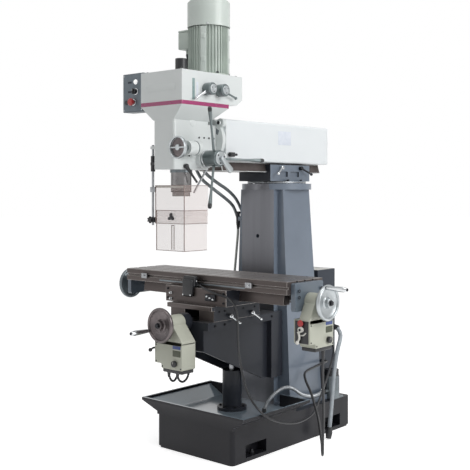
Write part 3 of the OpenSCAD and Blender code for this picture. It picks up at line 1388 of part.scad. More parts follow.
// Quill lock lever on the head's right side
quill_lock_off = 46;
quill_lock_y = -reach - quill_lock_off;
quill_lock_z = 1457;
quill_lock_l = 98;
quill_lock_turn = 219;
quill_lock_lean = 6;
quill_lock_root_share = 0.8;
quill_lock_tip_share = 0.5;
module quill_lock_lever() color("#1f2023") {
    x_rod(lock_boss_r, head_x + gap, head_x + lock_boss_l, quill_lock_y, quill_lock_z);
    translate([head_x + lock_boss_l / 2, quill_lock_y, quill_lock_z])
        rotate([quill_lock_turn, 0, 0]) rotate([0, quill_lock_lean, 0]) {
            cylinder(r1 = lock_boss_r * quill_lock_root_share, r2 = lock_boss_r * quill_lock_tip_share,
                h = quill_lock_l);
            translate([0, 0, quill_lock_l]) sphere(lock_boss_r * quill_lock_tip_share);
        }
}

// Speed levers on the gear housing's right side, each with a stub shaft into the housing
speed_hub_l = 46;
speed_arm_l = 104;
speed_arm_r = 8;
speed_arm_thin = 5;
speed_stub_x = 129;
speed_cap_r = 22;
speed_cap_l = 5;
speed_ball_r = 8;
speed_front_turn = 119;
speed_rear_turn = -107;
module speed_lever(y, angle) translate([house_x, y, speed_z]) {
    x_rod(speed_hub_r, gap, speed_hub_l, 0, 0);
    x_rod(speed_cap_r, speed_hub_l - over, speed_hub_l + speed_cap_l, 0, 0);
    x_rod(shaft_d / 2, speed_stub_x - house_x, over, 0, 0);
    translate([speed_hub_l / 2, 0, 0]) rotate([angle, 0, 0]) {
        cylinder(r1 = speed_arm_r, r2 = speed_arm_thin, h = speed_arm_l);
        translate([0, 0, speed_arm_l]) sphere(speed_ball_r);
    }
}
module speed_lever_front() color("#b3b9bb") speed_lever(speed_front_y, speed_front_turn);
module speed_lever_rear() color("#5b666b") speed_lever(speed_rear_y, speed_rear_turn);

// Control panel on the housing's left side with its stop button and selector
panel_x0 = -315;
panel_x1 = -164;
panel_front_l = 104;
panel_d = 72;
panel_y0 = -reach - panel_front_l;
panel_y1 = panel_y0 + panel_d;
panel_z0 = 1734;
panel_z1 = 1928;
panel_wall = 3;
panel_arm_h = 60;
panel_arm_z = 1790;
panel_key_x = -285;
panel_stop_x = -235;
panel_low_z = 1783;
panel_mid_x = -217;
panel_mid_z = 1836;
panel_lamp_z = 1884;
button_stem_r = 8;
button_ring_r = 17;
button_ring_l = 4;
lamp_r = 11;
lamp_l = 7;
key_r = 12;
key_l = 9;
module control_panel() color("#8d949a") {
    difference() {
        block([panel_x0, panel_y0, panel_z0], [panel_x1, panel_y1, panel_z1]);
        block([panel_x0 + panel_wall, panel_y0 + panel_wall, panel_z0 + panel_wall],
            [panel_x1 - panel_wall, panel_y1 - panel_wall, panel_z1 - panel_wall]);
        y_rod(button_stem_r + run_gap, panel_y0 - over, panel_y0 + 2 * panel_wall, panel_stop_x, panel_low_z);
        y_rod(button_stem_r + run_gap, panel_y0 - over, panel_y0 + 2 * panel_wall, panel_mid_x, panel_mid_z);
    }
    block([panel_x1, panel_y0 + 2 * key_r, panel_arm_z],
        [-house_x, panel_y1 - key_r / 2, panel_arm_z + panel_arm_h]);
    for (b = [[panel_stop_x, panel_low_z], [panel_mid_x, panel_mid_z]]) difference() {
        y_rod(button_ring_r, panel_y0 - button_ring_l, panel_y0, b[0], b[1]);
        y_rod(button_stem_r + run_gap, panel_y0 - 2 * button_ring_l, panel_y0 + over, b[0], b[1]);
    }
    y_rod(lamp_r, panel_y0 - lamp_l, panel_y0, panel_mid_x, panel_lamp_z);
    y_rod(key_r, panel_y0 - key_l, panel_y0, panel_key_x, panel_low_z);
}
button_travel = 5;
stop_r = 19;
stop_cap_l = 18;
stem_l = 34;
knob_r = 14;
knob_l = 16;
knob_bar_share = 1.4;
module stop_button() color("#c22a2a") {
    y_rod(button_stem_r, panel_y0 - button_ring_l - button_travel - over, panel_y0 + stem_l, panel_stop_x, panel_low_z);
    y_rod(stop_r, panel_y0 - button_ring_l - button_travel - stop_cap_l,
        panel_y0 - button_ring_l - button_travel - over, panel_stop_x, panel_low_z);
}
module selector_knob() color("#26282b") {
    y_rod(button_stem_r, panel_y0 - button_ring_l - over, panel_y0 + stem_l, panel_mid_x, panel_mid_z);
    y_rod(knob_r, panel_y0 - button_ring_l - gap - knob_l, panel_y0 - button_ring_l - gap, panel_mid_x, panel_mid_z);
    block([panel_mid_x - knob_r / 5, panel_y0 - button_ring_l - knob_l * knob_bar_share, panel_mid_z - knob_r],
        [panel_mid_x + knob_r / 5, panel_y0 - button_ring_l - knob_l, panel_mid_z + knob_r]);
}

// Chuck guard: a swinging upper screen on the rod, and a lower one that slides on it
guard_t = 4;
guard_x0 = -106;
guard_x1 = 98;
guard_front_l = 76;
guard_side_l = 166;
guard_front_y = -reach - guard_front_l;
guard_back_y = guard_front_y + guard_side_l;
guard_z1 = 1364;
guard_low_z = 1175;
guard_lap_z = 1242;
guard_foot_z = 1042;
guard_step = 2;
collar_rod_r = 14;
guard_collar_h = 26;
guard_collar_low_z = 1180;
guard_collar_top_z = 1330;
guard_rail_w = 12;
star_r = 16;
star_l = 12;
star_in_share = 0.7;
module screen(in, z0, z1) {
    block([guard_x0, guard_front_y + in, z0], [guard_x1 - in, guard_front_y + in + guard_t, z1]);
    block([guard_x1 - in - guard_t, guard_front_y + in + guard_t - eps_h, z0], [guard_x1 - in, guard_back_y, z1]);
}
module star_knob(x, y, z) {
    y_rod(star_r / 3, y - star_l, y, x, z);
    translate([x, y - star_l, z]) rotate([90, 0, 0]) linear_extrude(star_l) polygon([for (k = [0:11])
        let (r = k % 2 == 0 ? star_r : star_r * star_in_share) [r * cos(k * 30), r * sin(k * 30)]]);
}
module guard_shield() color("#e9e7e4", 0.45) {
    screen(0, guard_low_z, guard_z1);
    for (z = [guard_collar_low_z, guard_collar_top_z]) difference() {
        union() {
            z_rod(collar_rod_r, z, z + guard_collar_h, guard_rod_x, guard_rod_y);
            block([guard_rod_x, guard_rod_y - guard_rod_r, z],
                [guard_x0 + eps_h, guard_front_y + guard_t, z + guard_collar_h]);
        }
        z_rod(guard_rod_r + run_gap, z - over, z + guard_collar_h + over, guard_rod_x, guard_rod_y);
    }
    block([guard_x0, guard_front_y + guard_t - eps_h, guard_z1 - guard_rail_w],
        [guard_x1 - guard_t, guard_front_y + guard_t + guard_step - gap, guard_z1]);
    star_knob(guard_rod_x, guard_rod_y - collar_rod_r + over, guard_collar_low_z + guard_collar_h / 2);
}
module guard_extension() color("#ecebe8", 0.45) {
    screen(guard_t + guard_step, guard_foot_z, guard_lap_z);
    // pads that slide on the upper screen
    for (x = [guard_x0 + guard_rail_w, guard_x1 - 3 * guard_rail_w])
        block([x, guard_front_y + guard_t + gap, guard_lap_z - 2 * guard_rail_w],
            [x + guard_rail_w, guard_front_y + guard_t + guard_step + eps_h, guard_lap_z - guard_rail_w]);
}

// Hoses and leads on the base: coolant hose, tray hose and the supply lead
hose_d = 14;
tray_hose_d = 20;
lead_d = 24;
pump_hose_path = [[140, 390, 190], [110, 390, 190], [0, 392, 188], [-150, 394, 188], [-225, 375, 196],
    [-250, 300, 240], [-250, 200, 330], [-246, 110, 480], [-234, 60, 660], [-212, 44, 830], [-196, 44, 980],
    [-184, 44, 1090], [-182, 44, 1140], [-182, 44, 1152]];
tray_hose_path = [[235, -226, 204], [235, -226, 214], [238, -205, 252], [242, -150, 290], [248, -80, 310], [254, -15, 296],
    [256, 60, 252], [252, 150, 226], [238, 230, 218], [218, 290, 216], [218, 318, 216]];
lead_path = [[195, 440, 560], [215, 440, 560], [258, 420, 520], [296, 330, 440], [322, 260, 310], [338, 220, 180],
    [342, 196, 70], [342, 186, 14]];
lead_gland_r = 16;
lead_gland_l = 24;
small_gland_r = 8;
small_gland_l = 22;
lead_gland_y = 440;
lead_gland_z = 560;
x_gland_y = 345;
x_gland_z = 380;
switch_gland_y = 400;
switch_gland_z = 470;
base_glands = [[lead_gland_y, lead_gland_z, lead_gland_r, lead_gland_l],
    [x_gland_y, x_gland_z, small_gland_r, small_gland_l],
    [switch_gland_y, switch_gland_z, small_gland_r, small_gland_l]];
hose_boss_r = 14;
hose_boss_z = 204;
module base_cords() {
    color("#b9b6a8") tube(curve(pump_hose_path, 3), hose_d, 10);
    color("#a9aba9") tube(curve(tray_hose_path, 3), tray_hose_d, 10);
    color("#b4b7b9") tube(curve(lead_path, 3), lead_d, 10);
}

// Leads that bridge the moving parts
x_lead_d = 10;
switch_lead_d = 8;
y_lead_d = 11;
conduit_d = 18;
motor_lead_d = 16;
x_lead_in = 36;
x_lead_x = x_unit_x + x_lead_in;
x_lead_path = [[x_lead_x, -250, 579], [x_lead_x, -250, 560], [612, -240, 450], [575, -180, 250], [535, -135, 80],
    [518, -110, 20], [490, -80, 70], [440, -45, 190], [380, -20, 290], [330, 0, 345], [280, 60, 372], [246, 180, 376],
    [228, 290, 380], [212, 345, 380], [193, 345, 380]];
switch_lead_path = [[0, -474, 860], [16, -474, 860], [70, -497, 852], [150, -503, 832], [225, -492, 815],
    [246, -460, 770], [244, -440, 700], [242, -432, 570], [254, -418, 447], [300, -420, 339], [368, -404, 262],
    [382, -311, 206], [384, -191, 172], [382, -92, 166], [380, 2, 188], [362, 90, 256], [330, 200, 350],
    [280, 320, 440], [215, 400, 470], [193, 400, 470]];
y_lead_paths = [
    [[-20, -650, 453], [-20, -650, 436], [-26, -632, 406], [-40, -596, 392], [-54, -560, 412], [-60, -543, 470],
        [-60, -543, 514], [-60, -543, 528]],
    [[40, -650, 453], [40, -650, 438], [38, -636, 412], [30, -600, 398], [22, -562, 416], [20, -543, 470],
        [20, -543, 514], [20, -543, 528]]];
conduit_paths = [
    [[-133, -352, 1748], [-133, -352, 1720], [-140, -345, 1620], [-146, -320, 1520], [-154, -260, 1440], [-170, -150, 1385],
        [-190, -40, 1344], [-202, 50, 1290], [-200, 104, 1210], [-180, 122, 1150], [-180, 122, 1120]],
    [[-133, -380, 1748], [-133, -380, 1720], [-144, -372, 1610], [-152, -345, 1500], [-160, -285, 1410], [-178, -170, 1350],
        [-200, -60, 1304], [-212, 36, 1250], [-208, 76, 1170], [-184, 84, 1110], [-184, 84, 1080]]];
// The motor's lead, its Y values counted from the motor axis
motor_lead_route = [[-137, -11, 2048], [-137, -11, 2030], [-134, -14, 1990], [-122, -22, 1946], [-122, -22, 1924]];
motor_lead_path = [for (p = motor_lead_route) p + [0, motor_y, 0]];
module x_feed_cable() color("#202124") tube(curve(x_lead_path, 2), x_lead_d, 8);
module switch_cable() color("#202124") tube(curve(switch_lead_path, 2), switch_lead_d, 8);
module y_feed_cables() color("#202124") for (p = y_lead_paths) tube(curve(p, 3), y_lead_d, 8);
module power_conduits() {
    color("#2b2d31") for (p = conduit_paths) tube(curve(p, 3), conduit_d, 10);
    color("#3a3b3d") tube(curve(motor_lead_path, 2), motor_lead_d, 8);
}

base_casting();
column_casting();
elevating_post();
coolant_pump();
electrical_cabinet();
cabinet_door();
base_cords();
knee_casting();
y_feed_unit();
y_feed_lever();
y_speed_knob();
y_feed_cables();
knee_crank();
crank_grip();
elevating_screw();
y_screw();
y_handwheel();
y_grip();
saddle_casting();
feed_nuts();
limit_switch();
switch_cable();
saddle_lock_front();
saddle_lock_rear();
table_casting();
table_stop_dogs();
table_end_brackets();
x_feed_unit();
x_feed_lever();
x_speed_knob();
x_rapid_button();
x_feed_cable();
x_screw();
x_handwheels();
x_grip();
turret_block();
ram_lock_front();
ram_lock_rear();
power_conduits();
ram_casting();
ram_end_cover();
head_casting();
gear_housing();
motor_housing();
motor_cowl();
motor_rotor();
layshaft();
spindle_sleeve();
control_panel();
stop_button();
selector_knob();
speed_lever_front();
speed_lever_rear();
fine_feed_wheel();
feed_handle();
quill();
spindle();
quill_lock_lever();
guard_shield();
guard_extension();
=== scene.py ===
"""Mill drill with a knee, a ram and a tilting head: its looks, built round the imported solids.

Sizes are millimetres in the part's own frame until a mesh is made: X to the right, Y to the back, Z up.
A surface is a grid of points, rows by columns, closed round its columns and capped at both ends.
"""
import math

import bmesh
import bpy
import numpy as np
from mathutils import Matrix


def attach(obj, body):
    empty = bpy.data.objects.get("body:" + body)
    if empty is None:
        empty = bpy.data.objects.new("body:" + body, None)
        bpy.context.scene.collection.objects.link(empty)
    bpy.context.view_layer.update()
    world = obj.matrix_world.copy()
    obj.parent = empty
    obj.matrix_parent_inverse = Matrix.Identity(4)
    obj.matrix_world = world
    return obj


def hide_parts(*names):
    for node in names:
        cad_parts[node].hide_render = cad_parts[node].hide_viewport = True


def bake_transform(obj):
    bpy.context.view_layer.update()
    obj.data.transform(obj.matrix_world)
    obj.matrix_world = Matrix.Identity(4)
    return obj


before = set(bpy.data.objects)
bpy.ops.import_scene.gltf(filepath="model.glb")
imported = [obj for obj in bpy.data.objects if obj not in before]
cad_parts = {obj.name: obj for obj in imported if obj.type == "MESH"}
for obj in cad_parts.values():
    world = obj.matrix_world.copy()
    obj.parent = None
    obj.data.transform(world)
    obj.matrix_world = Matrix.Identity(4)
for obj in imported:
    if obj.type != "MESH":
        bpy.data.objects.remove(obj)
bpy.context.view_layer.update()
MM = 0.001
X, Y, Z = np.eye(3)
# Axes that several pieces share: the screws of table, saddle and lift, the spindle, motor and swivel, the feed hub,
# the speed levers and the flange, the fine feed, and the guard's rod; then six turns of a circle
SCREW_Y, TABLE_SCREW_Z, CROSS_SCREW_Z = -310, 813, 687
LIFT_Y, LIFT_Z = -210, 612
SPINDLE_Y, MOTOR_Y, SWIVEL_Y = -586, -388, 165
FEED_HUB = np.array([0, -507.4, 1495])
SIXTHS = np.arange(6) * math.pi / 3
SPEED_Z, FLANGE_Z = 1832, 1593
FINE_X, FINE_Z = 111, 1544
ROD_X, ROD_Y = -124, -660

# Camera


def camera():
    """The photograph's view: level, from the front right; the shift keeps the column's edges upright."""
    lens = bpy.data.cameras.new("camera")
    lens.lens = 66.03
    lens.sensor_width = 36
    lens.shift_x = -0.0385
    lens.shift_y = -0.0949
    eye = bpy.data.objects.new("camera", lens)
    eye.location = (3.048, -3.598, 1.339)
    eye.rotation_euler = (math.radians(90), 0, math.radians(40.57))
    bpy.context.scene.collection.objects.link(eye)
    bpy.context.scene.camera = eye


camera()

# Materials


def linear(tone):
    """sRGB hex to the linear colour that a socket takes: ((c + 0.055) / 1.055) to the power 2.4."""
    parts = np.array([int(tone[i:i + 2], 16) for i in (1, 3, 5)]) / 255
    low = parts / 12.92
    high = ((parts + 0.055) / 1.055) ** 2.4
    return tuple(np.where(parts <= 0.04045, low, high)) + (1.0,)


def add(tree, kind, settings=None, links=None):
    """A node of that kind, with its settings, and with each input given a value or another node's output."""
    made = tree.nodes.new("ShaderNode" + kind)
    for key, value in (settings or {}).items():
        setattr(made, key, value)
    for key, value in (links or {}).items():
        if isinstance(value, bpy.types.NodeSocket):
            tree.links.new(value, made.inputs[key])
        else:
            made.inputs[key].default_value = value
    return made


def worked(tree, operation, one, two):
    """The result of an operation on two values."""
    return add(tree, "Math", {"operation": operation}, {0: one, 1: two}).outputs[0]


def blank(name):
    """A material with only a Principled shader, its tree and the shader."""
    look = bpy.data.materials.new(name)
    look.use_nodes = True
    return look, look.node_tree, look.node_tree.nodes["Principled BSDF"]


def blended(tree, factor, one, two):
    """Colour one going to two as the factor goes from 0 to 1."""
    return add(tree, "Mix", {"data_type": "RGBA"}, {0: factor, 6: one, 7: two}).outputs[2]


def grain(tree, place, size, detail=3.0, stretch=(1, 1, 1)):
    """Noise whose lumps are about that many millimetres across, stretched along an axis."""
    laid = add(tree, "Mapping", {}, {"Vector": place, "Scale": tuple(1 / (size * MM * s) for s in stretch)})
    return add(tree, "TexNoise", {}, {"Vector": laid.outputs[0], "Scale": 1.0, "Detail": detail}).outputs["Fac"]


def between(tree, value, low, high, to_low=0.0, to_high=1.0):
    """The value, remapped from one span to another and held inside it."""
    return add(tree, "MapRange", {}, {"Value": value, "From Min": low, "From Max": high, "To Min": to_low,
                                      "To Max": to_high}).outputs[0]


def surface_look(name, tones, rough, metal=0.0, cloud=180.0, bump=(1.2, 0.04), stretch=(1, 1, 1), coat=0.0,
                 speck=0.0, fine=None, gloss=0.5):
    """Two tones in soft clouds, with a fine bump and a roughness that drifts with the clouds.

    tones: main and second colour. cloud: cloud size in mm. bump: lump size and height in mm.
    speck: share of small darker marks. fine: second, larger bump as (size, height) in mm. gloss: mirror share of a
    plain surface, where 0.5 is that of common paint.
    """
    look, tree, shader = blank(name)
    shader.inputs["Specular IOR Level"].default_value = gloss
    place = add(tree, "TexCoord").outputs["Object"]
    clouds = grain(tree, place, cloud, 4.0, stretch)
    drift = between(tree, clouds, 0.3, 0.7)
    colour = blended(tree, drift, linear(tones[0]), linear(tones[1]))
    if speck:
        marks = between(tree, grain(tree, place, 9.0, 6.0), 0.60, 0.74)
        shade = worked(tree, "MULTIPLY", marks, speck)
        colour = blended(tree, shade, colour, linear("#17181b"))
    tree.links.new(colour, shader.inputs["Base Color"])
    tree.links.new(between(tree, clouds, 0.25, 0.75, rough * 0.82, min(1.0, rough * 1.22)),
                   shader.inputs["Roughness"])
    shader.inputs["Metallic"].default_value = metal
    shader.inputs["Coat Weight"].default_value = coat
    shader.inputs["Coat Roughness"].default_value = 0.12
    lumps = add(tree, "Bump", {}, {"Strength": 0.35, "Distance": bump[1] * MM,
                                   "Height": grain(tree, place, bump[0], 2.0, stretch)})
    if fine:
        lumps = add(tree, "Bump", {}, {"Strength": 0.5, "Distance": fine[1] * MM, "Normal": lumps.outputs[0],
                                       "Height": grain(tree, place, fine[0], 2.0)})
    tree.links.new(lumps.outputs[0], shader.inputs["Normal"])
    return look


# Sprayed enamel over filled and rubbed cast iron: long soft waves, a thin gloss coat and faint orange peel
ENAMEL = dict(rough=0.34, cloud=420.0, bump=(1.6, 0.05), coat=0.3, fine=(45.0, 0.35))
DARK_ENAMEL = dict(ENAMEL, coat=0.08, gloss=0.18)
BASE_ENAMEL = surface_look("sprayed_enamel_dark_grey", ("#242429", "#1c1c21"), speck=0.15, **DARK_ENAMEL)
COLUMN_ENAMEL = surface_look("sprayed_enamel_blue_grey", ("#76818f", "#656f7c"), speck=0.06, **ENAMEL)
KNEE_ENAMEL = surface_look("sprayed_enamel_slate", ("#30333a", "#272a31"), speck=0.08, **DARK_ENAMEL)
# Lighter enamel for the upward faces inside the tray: painted light on the tray floor, with a glossy coat
TRAY_FLOOR_PAINTED_LIGHT = surface_look("sprayed_enamel_painted_light_on_tray", ("#95a4ae", "#82919c"), speck=0.1,
                           **dict(ENAMEL, rough=0.16, coat=0.9, gloss=0.9))
CABINET_ENAMEL = surface_look("sprayed_enamel_cabinet", ("#3a404a", "#31363f"), speck=0.04, **DARK_ENAMEL)
BRACKET_ENAMEL = surface_look("sprayed_enamel_bracket", ("#66727e", "#58636e"), speck=0.08, **ENAMEL)
# Lighter colour on the rounded edges: partly enamel worn thin over the corner, partly a painted highlight along the
# edge
DARK_EDGE_WEAR_AND_HIGHLIGHT = surface_look("dark_enamel_worn_and_painted_highlight", ("#7d838e", "#5a606b"), rough=0.3, cloud=60.0, speck=0.3, coat=0.2)
BLUE_EDGE_WEAR_AND_HIGHLIGHT = surface_look("blue_enamel_worn_and_painted_highlight", ("#8b949f", "#727b86"), rough=0.3, cloud=60.0, coat=0.2)
# Off-white enamel of the head and ram, a little green in its shade
HEAD_ENAMEL = surface_look("sprayed_enamel_off_white", ("#e2e6e6", "#d8dddc"), rough=0.3, cloud=500.0,
                           bump=(1.6, 0.03), coat=0.35, fine=(60.0, 0.2))
# Lighter off-white on the rounded edges: a painted highlight along the edge
PAINTED_HIGHLIGHT_HEAD = surface_look("off_white_painted_edge_highlight", ("#eff2f2", "#e3e7e6"), rough=0.28, cloud=60.0, coat=0.3)
RAM_ENAMEL = surface_look("sprayed_enamel_ram_white", ("#e8ecee", "#dfe4e6"), rough=0.32, cloud=600.0,
                          bump=(1.6, 0.03), coat=0.3, fine=(70.0, 0.2))
# Crimson lacquer band, smooth and glossy
BAND_RED = surface_look("lacquer_band_crimson", ("#a8356f", "#9c2f66"), rough=0.25, cloud=200.0, bump=(1.0, 0.01),
                        coat=0.4)
# Pale green-grey paint on die cast aluminium of the motor
MOTOR_PAINT = surface_look("motor_paint_on_aluminium", ("#bfc9c1", "#b0bab3"), rough=0.42, cloud=120.0,
                           bump=(1.0, 0.05), coat=0.15)
COWL_PAINT = surface_look("motor_paint_on_sheet_steel", ("#cdd5d0", "#c3ccc6"), rough=0.35, cloud=200.0,
                          bump=(1.4, 0.02), coat=0.25)
# Powder coat of the switch panel, and the anodised sheet on its face
PANEL_PAINT = surface_look("powder_coat_panel", ("#5f686f", "#565f66"), rough=0.5, cloud=150.0, bump=(0.9, 0.06))
PANEL_FACE = surface_look("anodised_panel_face", ("#747e86", "#69737b"), rough=0.45, metal=0.2, cloud=60.0,
                          bump=(0.5, 0.01))
# White signal lamp, lit
LAMP_WHITE = surface_look("lit_signal_lamp", ("#f4f4f2", "#ecece9"), rough=0.25, cloud=20.0,
                          bump=(0.6, 0.01), coat=0.4)
LAMP_WHITE.node_tree.nodes["Principled BSDF"].inputs["Emission Color"].default_value = linear("#ffffff")
LAMP_WHITE.node_tree.nodes["Principled BSDF"].inputs["Emission Strength"].default_value = 0.5
# Table and saddle: ground and scraped grey iron with a brown film of oil, ground along X
GROUND_IRON = surface_look("ground_cast_iron", ("#8a8685", "#777272"), rough=0.32, metal=0.75, cloud=90.0,
                           bump=(0.5, 0.02), stretch=(14, 1, 1), speck=0.12)
TABLE_SIDE = surface_look("milled_cast_iron_warm", ("#5e5654", "#4b4442"), rough=0.4, metal=0.6, cloud=70.0,
                          bump=(0.6, 0.03), stretch=(10, 1, 1), speck=0.15)
WAY_IRON = surface_look("ground_iron_ways", ("#7a7b80", "#696a6f"), rough=0.33, metal=0.7, cloud=80.0,
                        bump=(0.5, 0.02), stretch=(1, 1, 14), speck=0.08)
# Lighter iron on the rounded edges: partly wear, partly a painted highlight along the edge
IRON_RIM_WEAR_AND_HIGHLIGHT = surface_look("iron_rim_wear_and_painted_highlight", ("#a8a3a0", "#8c8683"), rough=0.3, metal=0.8, cloud=40.0)
# Turned and ground steels: rings of the tool too fine to see, drawn as drifting roughness
STEEL = surface_look("turned_steel", ("#a3a5a8", "#8e9093"), rough=0.3, metal=0.95, cloud=25.0, bump=(0.5, 0.02))
BRIGHT_STEEL = surface_look("chromed_steel", ("#d4d6d8", "#c6c9cb"), rough=0.14, metal=1.0, cloud=40.0,
                            bump=(0.5, 0.006))
QUILL_STEEL = surface_look("ground_steel_of_quill", ("#8f8d8d", "#7b797a"), rough=0.24, metal=0.9, cloud=30.0,
                           bump=(0.5, 0.01))
DARK_STEEL = surface_look("blackened_steel", ("#3a3b3f", "#2b2c2f"), rough=0.38, metal=0.8, cloud=18.0,
                          bump=(0.6, 0.02))
ARM_STEEL = surface_look("grey_enamelled_steel", ("#6f7a7b", "#616b6c"), rough=0.32, metal=0.35, cloud=60.0,
                         bump=(0.8, 0.02), coat=0.3)
# Cast aluminium: polished wheel rims; the left wheel in darker grey, a painted shade; and the front wheel in warm
# brown, a painted reflection of the brown table
CAST_ALUMINIUM = surface_look("cast_aluminium", ("#b9bec0", "#a7acae"), rough=0.34, metal=0.85, cloud=50.0,
                              bump=(0.9, 0.06))
DARK_ALUMINIUM = surface_look("cast_aluminium_grey", ("#7f868a", "#6f767a"), rough=0.36, metal=0.7, cloud=50.0,
                              bump=(0.9, 0.06))
ALUMINIUM_PAINTED_WARM_REFLECTION = surface_look("cast_aluminium_painted_warm_reflection", ("#746c6c", "#605a5b"), rough=0.3, metal=0.7,
                              cloud=45.0, bump=(0.9, 0.06))
# Bronze of the feed nuts
BRONZE = surface_look("cast_bronze", ("#9a7b45", "#80643a"), rough=0.4, metal=0.9, cloud=20.0, bump=(0.7, 0.05))
# Moulded plastics: fine spark-eroded grain
BLACK_PLASTIC = surface_look("black_phenolic", ("#232428", "#1b1c1f"), rough=0.38, cloud=60.0, bump=(0.7, 0.03))
CREAM_PLASTIC = surface_look("cream_abs", ("#bdbfb1", "#b1b3a5"), rough=0.42, cloud=160.0,
                             bump=(0.7, 0.04), coat=0.1)
PALE_PLASTIC = surface_look("white_nylon", ("#e6e5df", "#dad9d2"), rough=0.4, cloud=60.0, bump=(0.7, 0.03))
RED_PLASTIC = surface_look("red_abs", ("#bf2a2e", "#ab2226"), rough=0.3, cloud=40.0, bump=(0.7, 0.02), coat=0.3)
# Plates bare of words: the two on each feed unit, and the ones on the housing and the ram
BLUE_PLATE = surface_look("anodised_plate_blue", ("#3c4f8a", "#34467c"), rough=0.35, cloud=30.0, bump=(0.5, 0.01))
OLIVE_PLATE = surface_look("anodised_plate_dark", ("#4a4f3c", "#3f4434"), rough=0.4, cloud=30.0, bump=(0.5, 0.01))
GREEN_PLATE = surface_look("printed_plate_green_grey", ("#8fa5a4", "#7c9292"), rough=0.4, cloud=14.0,
                           bump=(0.5, 0.01))
PALE_PLATE = surface_look("printed_plate_pale", ("#dfe4ec", "#d6dce6"), rough=0.4, cloud=25.0, bump=(0.5, 0.01))
# Rubber sleeves, and the sheaths of leads in soft vinyl
BLACK_RUBBER = surface_look("black_rubber", ("#26272a", "#1d1e20"), rough=0.5, cloud=40.0, bump=(0.6, 0.04))
CABLE_SHEATH = surface_look("black_pvc_sheath", ("#222327", "#191a1d"), rough=0.33, cloud=50.0, bump=(0.6, 0.02))
GREY_SHEATH = surface_look("grey_pvc_conduit", ("#aab1b6", "#989fa5"), rough=0.42, cloud=50.0, bump=(0.6, 0.03))
# Coolant hose of milky vinyl, the tray's silver hose, wound conduit, and the motor's copper winding
HOSE_VINYL = surface_look("milky_vinyl_hose", ("#c9ccc6", "#b7bab4"), rough=0.3, cloud=60.0,
                          bump=(0.8, 0.02), coat=0.2)
CORRUGATED = surface_look("silver_corrugated_hose", ("#a9adb0", "#8f9397"), rough=0.3, metal=0.5, cloud=30.0)
CONDUIT = surface_look("wound_steel_conduit", ("#7b8184", "#5f6568"), rough=0.32, metal=0.55, cloud=30.0,
                       bump=(0.6, 0.03))
WINDING = surface_look("varnished_copper_winding", ("#8a5a32", "#6f4526"), rough=0.4, metal=0.6, cloud=6.0,
                       bump=(1.2, 0.3), stretch=(1, 1, 6))


def clear_look(name, tone, alpha, rough):
    """Clear sheet: mostly seen through, with a gloss on it and faint scuffs of about 4 mm."""
    look, tree, shader = blank(name)
    place = add(tree, "TexCoord").outputs["Object"]
    scuff = grain(tree, place, 4.0, 5.0)
    tree.links.new(blended(tree, scuff, linear(tone), linear("#c0aaa4")), shader.inputs["Base Color"])
    tree.links.new(between(tree, scuff, 0.3, 0.7, rough, rough * 2.5), shader.inputs["Roughness"])
    shader.inputs["Alpha"].default_value = alpha
    shader.inputs["IOR"].default_value = 1.49
    shader.inputs["Coat Weight"].default_value = 0.3
    return look


# Extruded polycarbonate, a little pink, and its sawn edges, which gather light
CLEAR_SHEET = clear_look("clear_polycarbonate", "#d3bcb5", 0.2, 0.08)
CLEAR_EDGE = clear_look("polycarbonate_edge", "#6f6765", 0.85, 0.25)


def dial_look(name, ground, mark, turns, high, low):
    """Graduations: a mark wherever the turn times their number lies near a whole one, and each fifth is longer."""
    look, tree, shader = blank(name)
    flat = add(tree, "SeparateXYZ", {}, {0: add(tree, "UVMap").outputs[0]})

    def near_whole(count, half):
        within = worked(tree, "PINGPONG", worked(tree, "MULTIPLY", flat.outputs[0], float(count)), 0.5)
        return worked(tree, "LESS_THAN", within, half)

    def inside(top):
        over = worked(tree, "GREATER_THAN", flat.outputs[1], low)
        return worked(tree, "MULTIPLY", over, worked(tree, "LESS_THAN", flat.outputs[1], top))

    short = worked(tree, "MULTIPLY", near_whole(turns, 0.14), inside(low + (high - low) * 0.55))
    long = worked(tree, "MULTIPLY", near_whole(turns // 5, 0.03), inside(high))
    tree.links.new(blended(tree, worked(tree, "MAXIMUM", short, long), linear(ground), linear(mark)),
                   shader.inputs["Base Color"])
    wear = grain(tree, add(tree, "TexCoord").outputs["Object"], 12.0)
    tree.links.new(between(tree, wear, 0.3, 0.7, 0.22, 0.38), shader.inputs["Roughness"])
    shader.inputs["Metallic"].default_value = 0.8
    return look


# Satin chromed dial with engraved black graduations
DIAL = dial_look("satin_chrome_dial", "#b9bcbe", "#1d1e20", 100, 0.62, 0.36)
SWIVEL_SCALE = dial_look("degree_scale_on_aluminium", "#a9adb0", "#1d1e20", 360, 0.8, 0.2)

# Surfaces


def unit(v):
    """v over its length, row by row."""
    v = np.asarray(v, float)
    return v / np.linalg.norm(v, axis=-1, keepdims=True)


def eased(points, cut, steps=4, closed=False):
    """An outline with each corner p between its neighbours turned into the curve (1-t)^2 a + 2t(1-t) p + t^2 b,
    where a and b lie on the two sides at the cut, or at nearly half the side where that is shorter."""
    p = np.asarray(points, float)
    before = np.roll(p, 1, 0)
    after = np.roll(p, -1, 0)
    cut = np.broadcast_to(np.asarray(cut, float), len(p))[:, None]

    def towards(q):
        way = q - p
        size = np.maximum(np.linalg.norm(way, axis=1, keepdims=True), 1e-9)
        return p + way / size * np.minimum(cut, size * 0.49)

    a, b = towards(before), towards(after)
    t = np.linspace(0, 1, steps)[None, :, None]
    curve = (1 - t) ** 2 * a[:, None] + 2 * t * (1 - t) * p[:, None] + t ** 2 * b[:, None]
    if closed:
        return curve.reshape(-1, p.shape[1])
    return np.vstack([p[:1], curve[1:-1].reshape(-1, p.shape[1]), p[-1:]])


def basis(axis):
    """Two directions square to the axis, so that side, up and axis are right-handed."""
    axis = unit(axis)
    side = unit(np.cross(axis, X if abs(axis[0]) < 0.9 else Y))
    return side, np.cross(axis, side), axis


